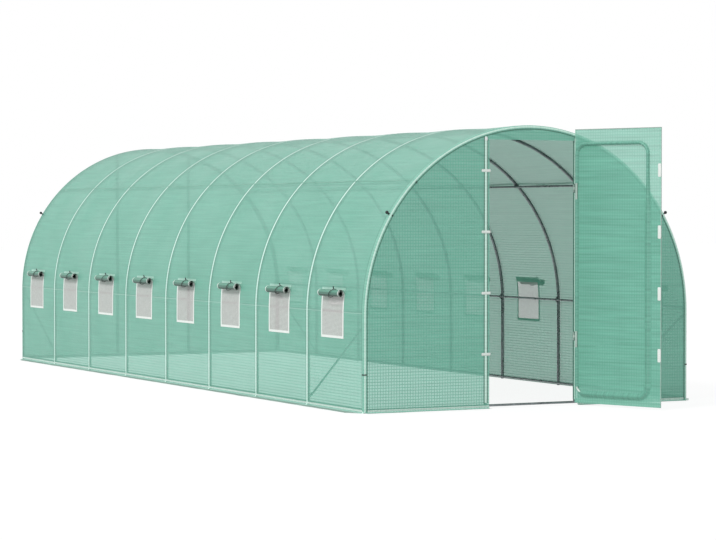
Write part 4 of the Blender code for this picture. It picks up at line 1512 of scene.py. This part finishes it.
print("door")
leaf = {
    "start": 0.012,  # from the hinge axis
    "end": 0.862,
    "bottom": 0.020,
    "top": 2.237,
    "open": 111.0,  # degrees from shut
    "wrinkle": 0.0025,
    "outwards": 0.3,  # keeps most of the wrinkles on the outer face
    "softWaves": (2.1, 2.4),  # to a metre across and up
    "fineWaves": (2.0, 12.0),
    "fineShare": 0.4,
    "flatEdge": 0.2,  # width beside each upright edge where the ripples fade out
    "hem": 0.012,
    "bottomHem": 0.040,
    "overlock": 0.005,
    "lift": 0.0012,
    "step": 0.04,
}
leafTube = {  # left, right, bottom and top are of the tube's middle line
    "left": 0.033,
    "right": 0.733,
    "bottom": 0.095,
    "top": 2.118,
    "corner": 0.090,
    "depth": 0.0103,  # of its middle line, on the side that is inside when shut
    "sleeve": 0.0111,  # radius of the cloth over it
    "foot": (0.001, 0.0045),  # where the cloth leaves the skin, beside that radius, and turns up
    "flange": 0.003,  # flat cloth on each side of the sleeve
    "loose": 0.030,  # half the width of the sleeve where it hangs loose, below the top
    "looseHinge": 0.019,
    "tightens": (1.5, 1.9),  # heights between which the loose sleeve turns tight
    "bare": (203, 237),  # degrees, the part of the lower hinge-side corner with no sleeve
    "knuckleGap": 0.042,  # half the opening in the sleeve at each hinge
    "knuckles": (0.560, 1.760),
}
hinge = next(joint for joint in frame["joints"] if joint["name"] == "door_hinge")["pos_m"]
hingeFoot = Vector((hinge[0], hinge[1], 0))
heading = math.pi + math.radians(leaf["open"])
alongLeaf = Vector((math.cos(heading), math.sin(heading), 0))
outOfLeaf = Vector((-math.sin(heading), math.cos(heading), 0))


def leafPoint(reach, height, out=0.0):
    # reach from the hinge axis to the free edge, out from the leaf's face that is outside when shut
    foot = hingeFoot + alongLeaf * reach + outOfLeaf * out
    return foot + Vector((0, 0, height))


def skinPoint(reach, height, lift=0.0):
    # on the leaf's cloth, which ripples except near its two upright edges
    soft = softNoise(reach, height, leaf["softWaves"], 6.6)
    fine = leaf["fineShare"] * softNoise(reach, height, leaf["fineWaves"], 2.2)
    edge = smoothStep(min(reach - leaf["start"], leaf["end"] - reach), 0.0, leaf["flatEdge"])
    return leafPoint(reach, height, leaf["wrinkle"] * max(0.0, soft + fine + leaf["outwards"]) * edge - lift)


def sleeveLine():
    # the frame's middle line from the lower hinge-side corner round to that corner's other end,
    # each place with the way outwards there
    left, right, bottom, top = (leafTube[name] for name in ("left", "right", "bottom", "top"))
    corner = leafTube["corner"]
    inner = left + corner, right - corner, bottom + corner, top - corner

    def turned(x, z, first, last, count):
        # round a corner's centre, between two angles
        line = []
        for step in range(count + 1):
            angle = math.radians(first + (last - first) * step / count)
            across, up = math.cos(angle), math.sin(angle)
            line.append((x + corner * across, z + corner * up, across, up))
        return line

    gap = leafTube["knuckleGap"]
    marks = [inner[2]]
    for height in leafTube["knuckles"]:
        marks += [height - gap, height + gap]
    free, bare = leafTube["bare"]
    line = turned(inner[0], inner[2], bare, 270, 4)[:-1]
    step = quads["along"]
    line += [(at, bottom, 0.0, -1.0) for at in stops(inner[:2], step)]
    line += turned(inner[1], inner[2], -90, 0, 8)[1:]
    line += [(right, at, 1.0, 0.0) for at in stops(inner[2:], step)[1:]]
    line += turned(inner[1], inner[3], 0, 90, 8)[1:]
    line += [(at, top, 0.0, 1.0) for at in stops(inner[:2], step)[-2::-1]]
    line += turned(inner[0], inner[3], 90, 180, 8)[1:]
    line += [(left, at, -1.0, 0.0) for at in stops([*marks, inner[3]], step)[-2::-1]]
    return line + turned(inner[0], inner[2], 180, free, 4)[1:]


def makeDoorSleeve():
    # cloth sewn over the tube on the inner side; bare at the hinges and the lower hinge-side corner
    radius, depth, flange = (leafTube[name] for name in ("sleeve", "depth", "flange"))
    aside, above = leafTube["foot"]
    foot = -radius - aside
    section = [(foot - flange, leaf["lift"]), (foot, leaf["lift"]), (-radius - 0.0002, above)]
    for degrees in range(0, 181, 18):
        angle = math.radians(degrees)
        section.append((-radius * math.cos(angle), depth + radius * math.sin(angle)))
    section += [(-offset, out) for offset, out in section[2::-1]]
    widths = [0.0]
    for before, after in zip(section, section[1:]):
        widths.append(widths[-1] + math.dist(before, after))
    line = sleeveLine()
    measures = [0.0]
    for before, after in zip(line, line[1:]):
        measures.append(measures[-1] + math.dist(before[:2], after[:2]))
    width = dict(zip(widths, section))
    along = dict(zip(measures, line))
    edge = -section[0][0]

    def place(across, measure):
        offset, out = width[across]
        reach, height, outReach, outHeight = along[measure]
        hingeSide = smoothStep(reach, leafTube["left"] + leafTube["corner"], leafTube["left"])
        half = leafTube["loose"] + (leafTube["looseHinge"] - leafTube["loose"]) * hingeSide
        wide = offset * half / edge
        tent = max(0.0, math.cos(math.pi / 2 * wide / half)) ** (2 - hingeSide)
        high = leaf["lift"] + (depth + radius - leaf["lift"]) * tent
        tight = smoothStep(height, *leafTube["tightens"]) * (1 - hingeSide)
        offset = wide + (offset - wide) * tight
        out = high + (out - high) * tight
        return leafPoint(reach + outReach * offset, height + outHeight * offset, -out)

    def keep(across, measure):
        nearest = min(measures, key=lambda value: abs(value - measure))
        reach, height = along[nearest][:2]
        if reach > leafTube["left"] + 1 * mm:
            return True
        return all(abs(height - at) > leafTube["knuckleGap"] + 1 * mm for at in leafTube["knuckles"])

    return sheetPiece(
        "door_sleeve", widths, measures, place, [fabric["door"]], keep, middle=(widths[-1] / 2, 0)
    )


def makeDoor():
    # the skin's edges, its hems and, at two edges, the overlocked strip
    across = [leaf["start"], leaf["start"] + leaf["hem"], leaf["end"] - leaf["hem"], leaf["end"]]
    along = [leaf["bottom"], leaf["bottom"] + leaf["bottomHem"], leaf["top"] - leaf["hem"], leaf["top"]]
    lastAcross, lastAlong = across[-1] - leaf["overlock"], along[-1] - leaf["overlock"]
    step = leaf["step"]
    skin = sheetPiece(
        "door_skin_sheet", stops(across, step), stops(along, step), skinPoint, [fabric["door"]]
    )
    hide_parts("door_skin")

    def inHem(reach, height):
        return not (across[1] < reach < across[2] and along[1] < height < along[2])

    def hemPaint(reach, height):
        return 2 if reach > lastAcross or height > lastAlong else int(height < along[1])

    hem = sheetPiece(
        "door_hem",
        stops([*across[:-1], lastAcross, across[-1]], step),
        stops([*along[:-1], lastAlong, along[-1]], step),
        lambda reach, height: skinPoint(reach, height, leaf["lift"]),
        [fabric["thin edge"], fabric["turned over a tube"], fabric["overlocked edge"]],
        inHem,
        paint=hemPaint,
    )
    sleeve = makeDoorSleeve()
    rideOn("door", "green_grid_fabric", skin, hem, sleeve)
    strips = []
    halfStrip, fromSkin = hookStrip["onDoor"]
    for node in [name for name in nodes if name.startswith("door_strip")]:
        low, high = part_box(node)
        middle = (low + high) / 2
        reach = (Vector((middle.x, middle.y, 0)) - hingeFoot).dot(alongLeaf)

        def place(across, along, out):
            return leafPoint(reach + across, middle.z + along, -fromSkin - out)

        name = node.replace("door_strip", "door_tape")
        strips.append(makeHookTape(name, node, halfStrip, (high.z - low.z) / 2, place))
    rideOn("door", "white_hook_tape", *strips)


makeDoor()
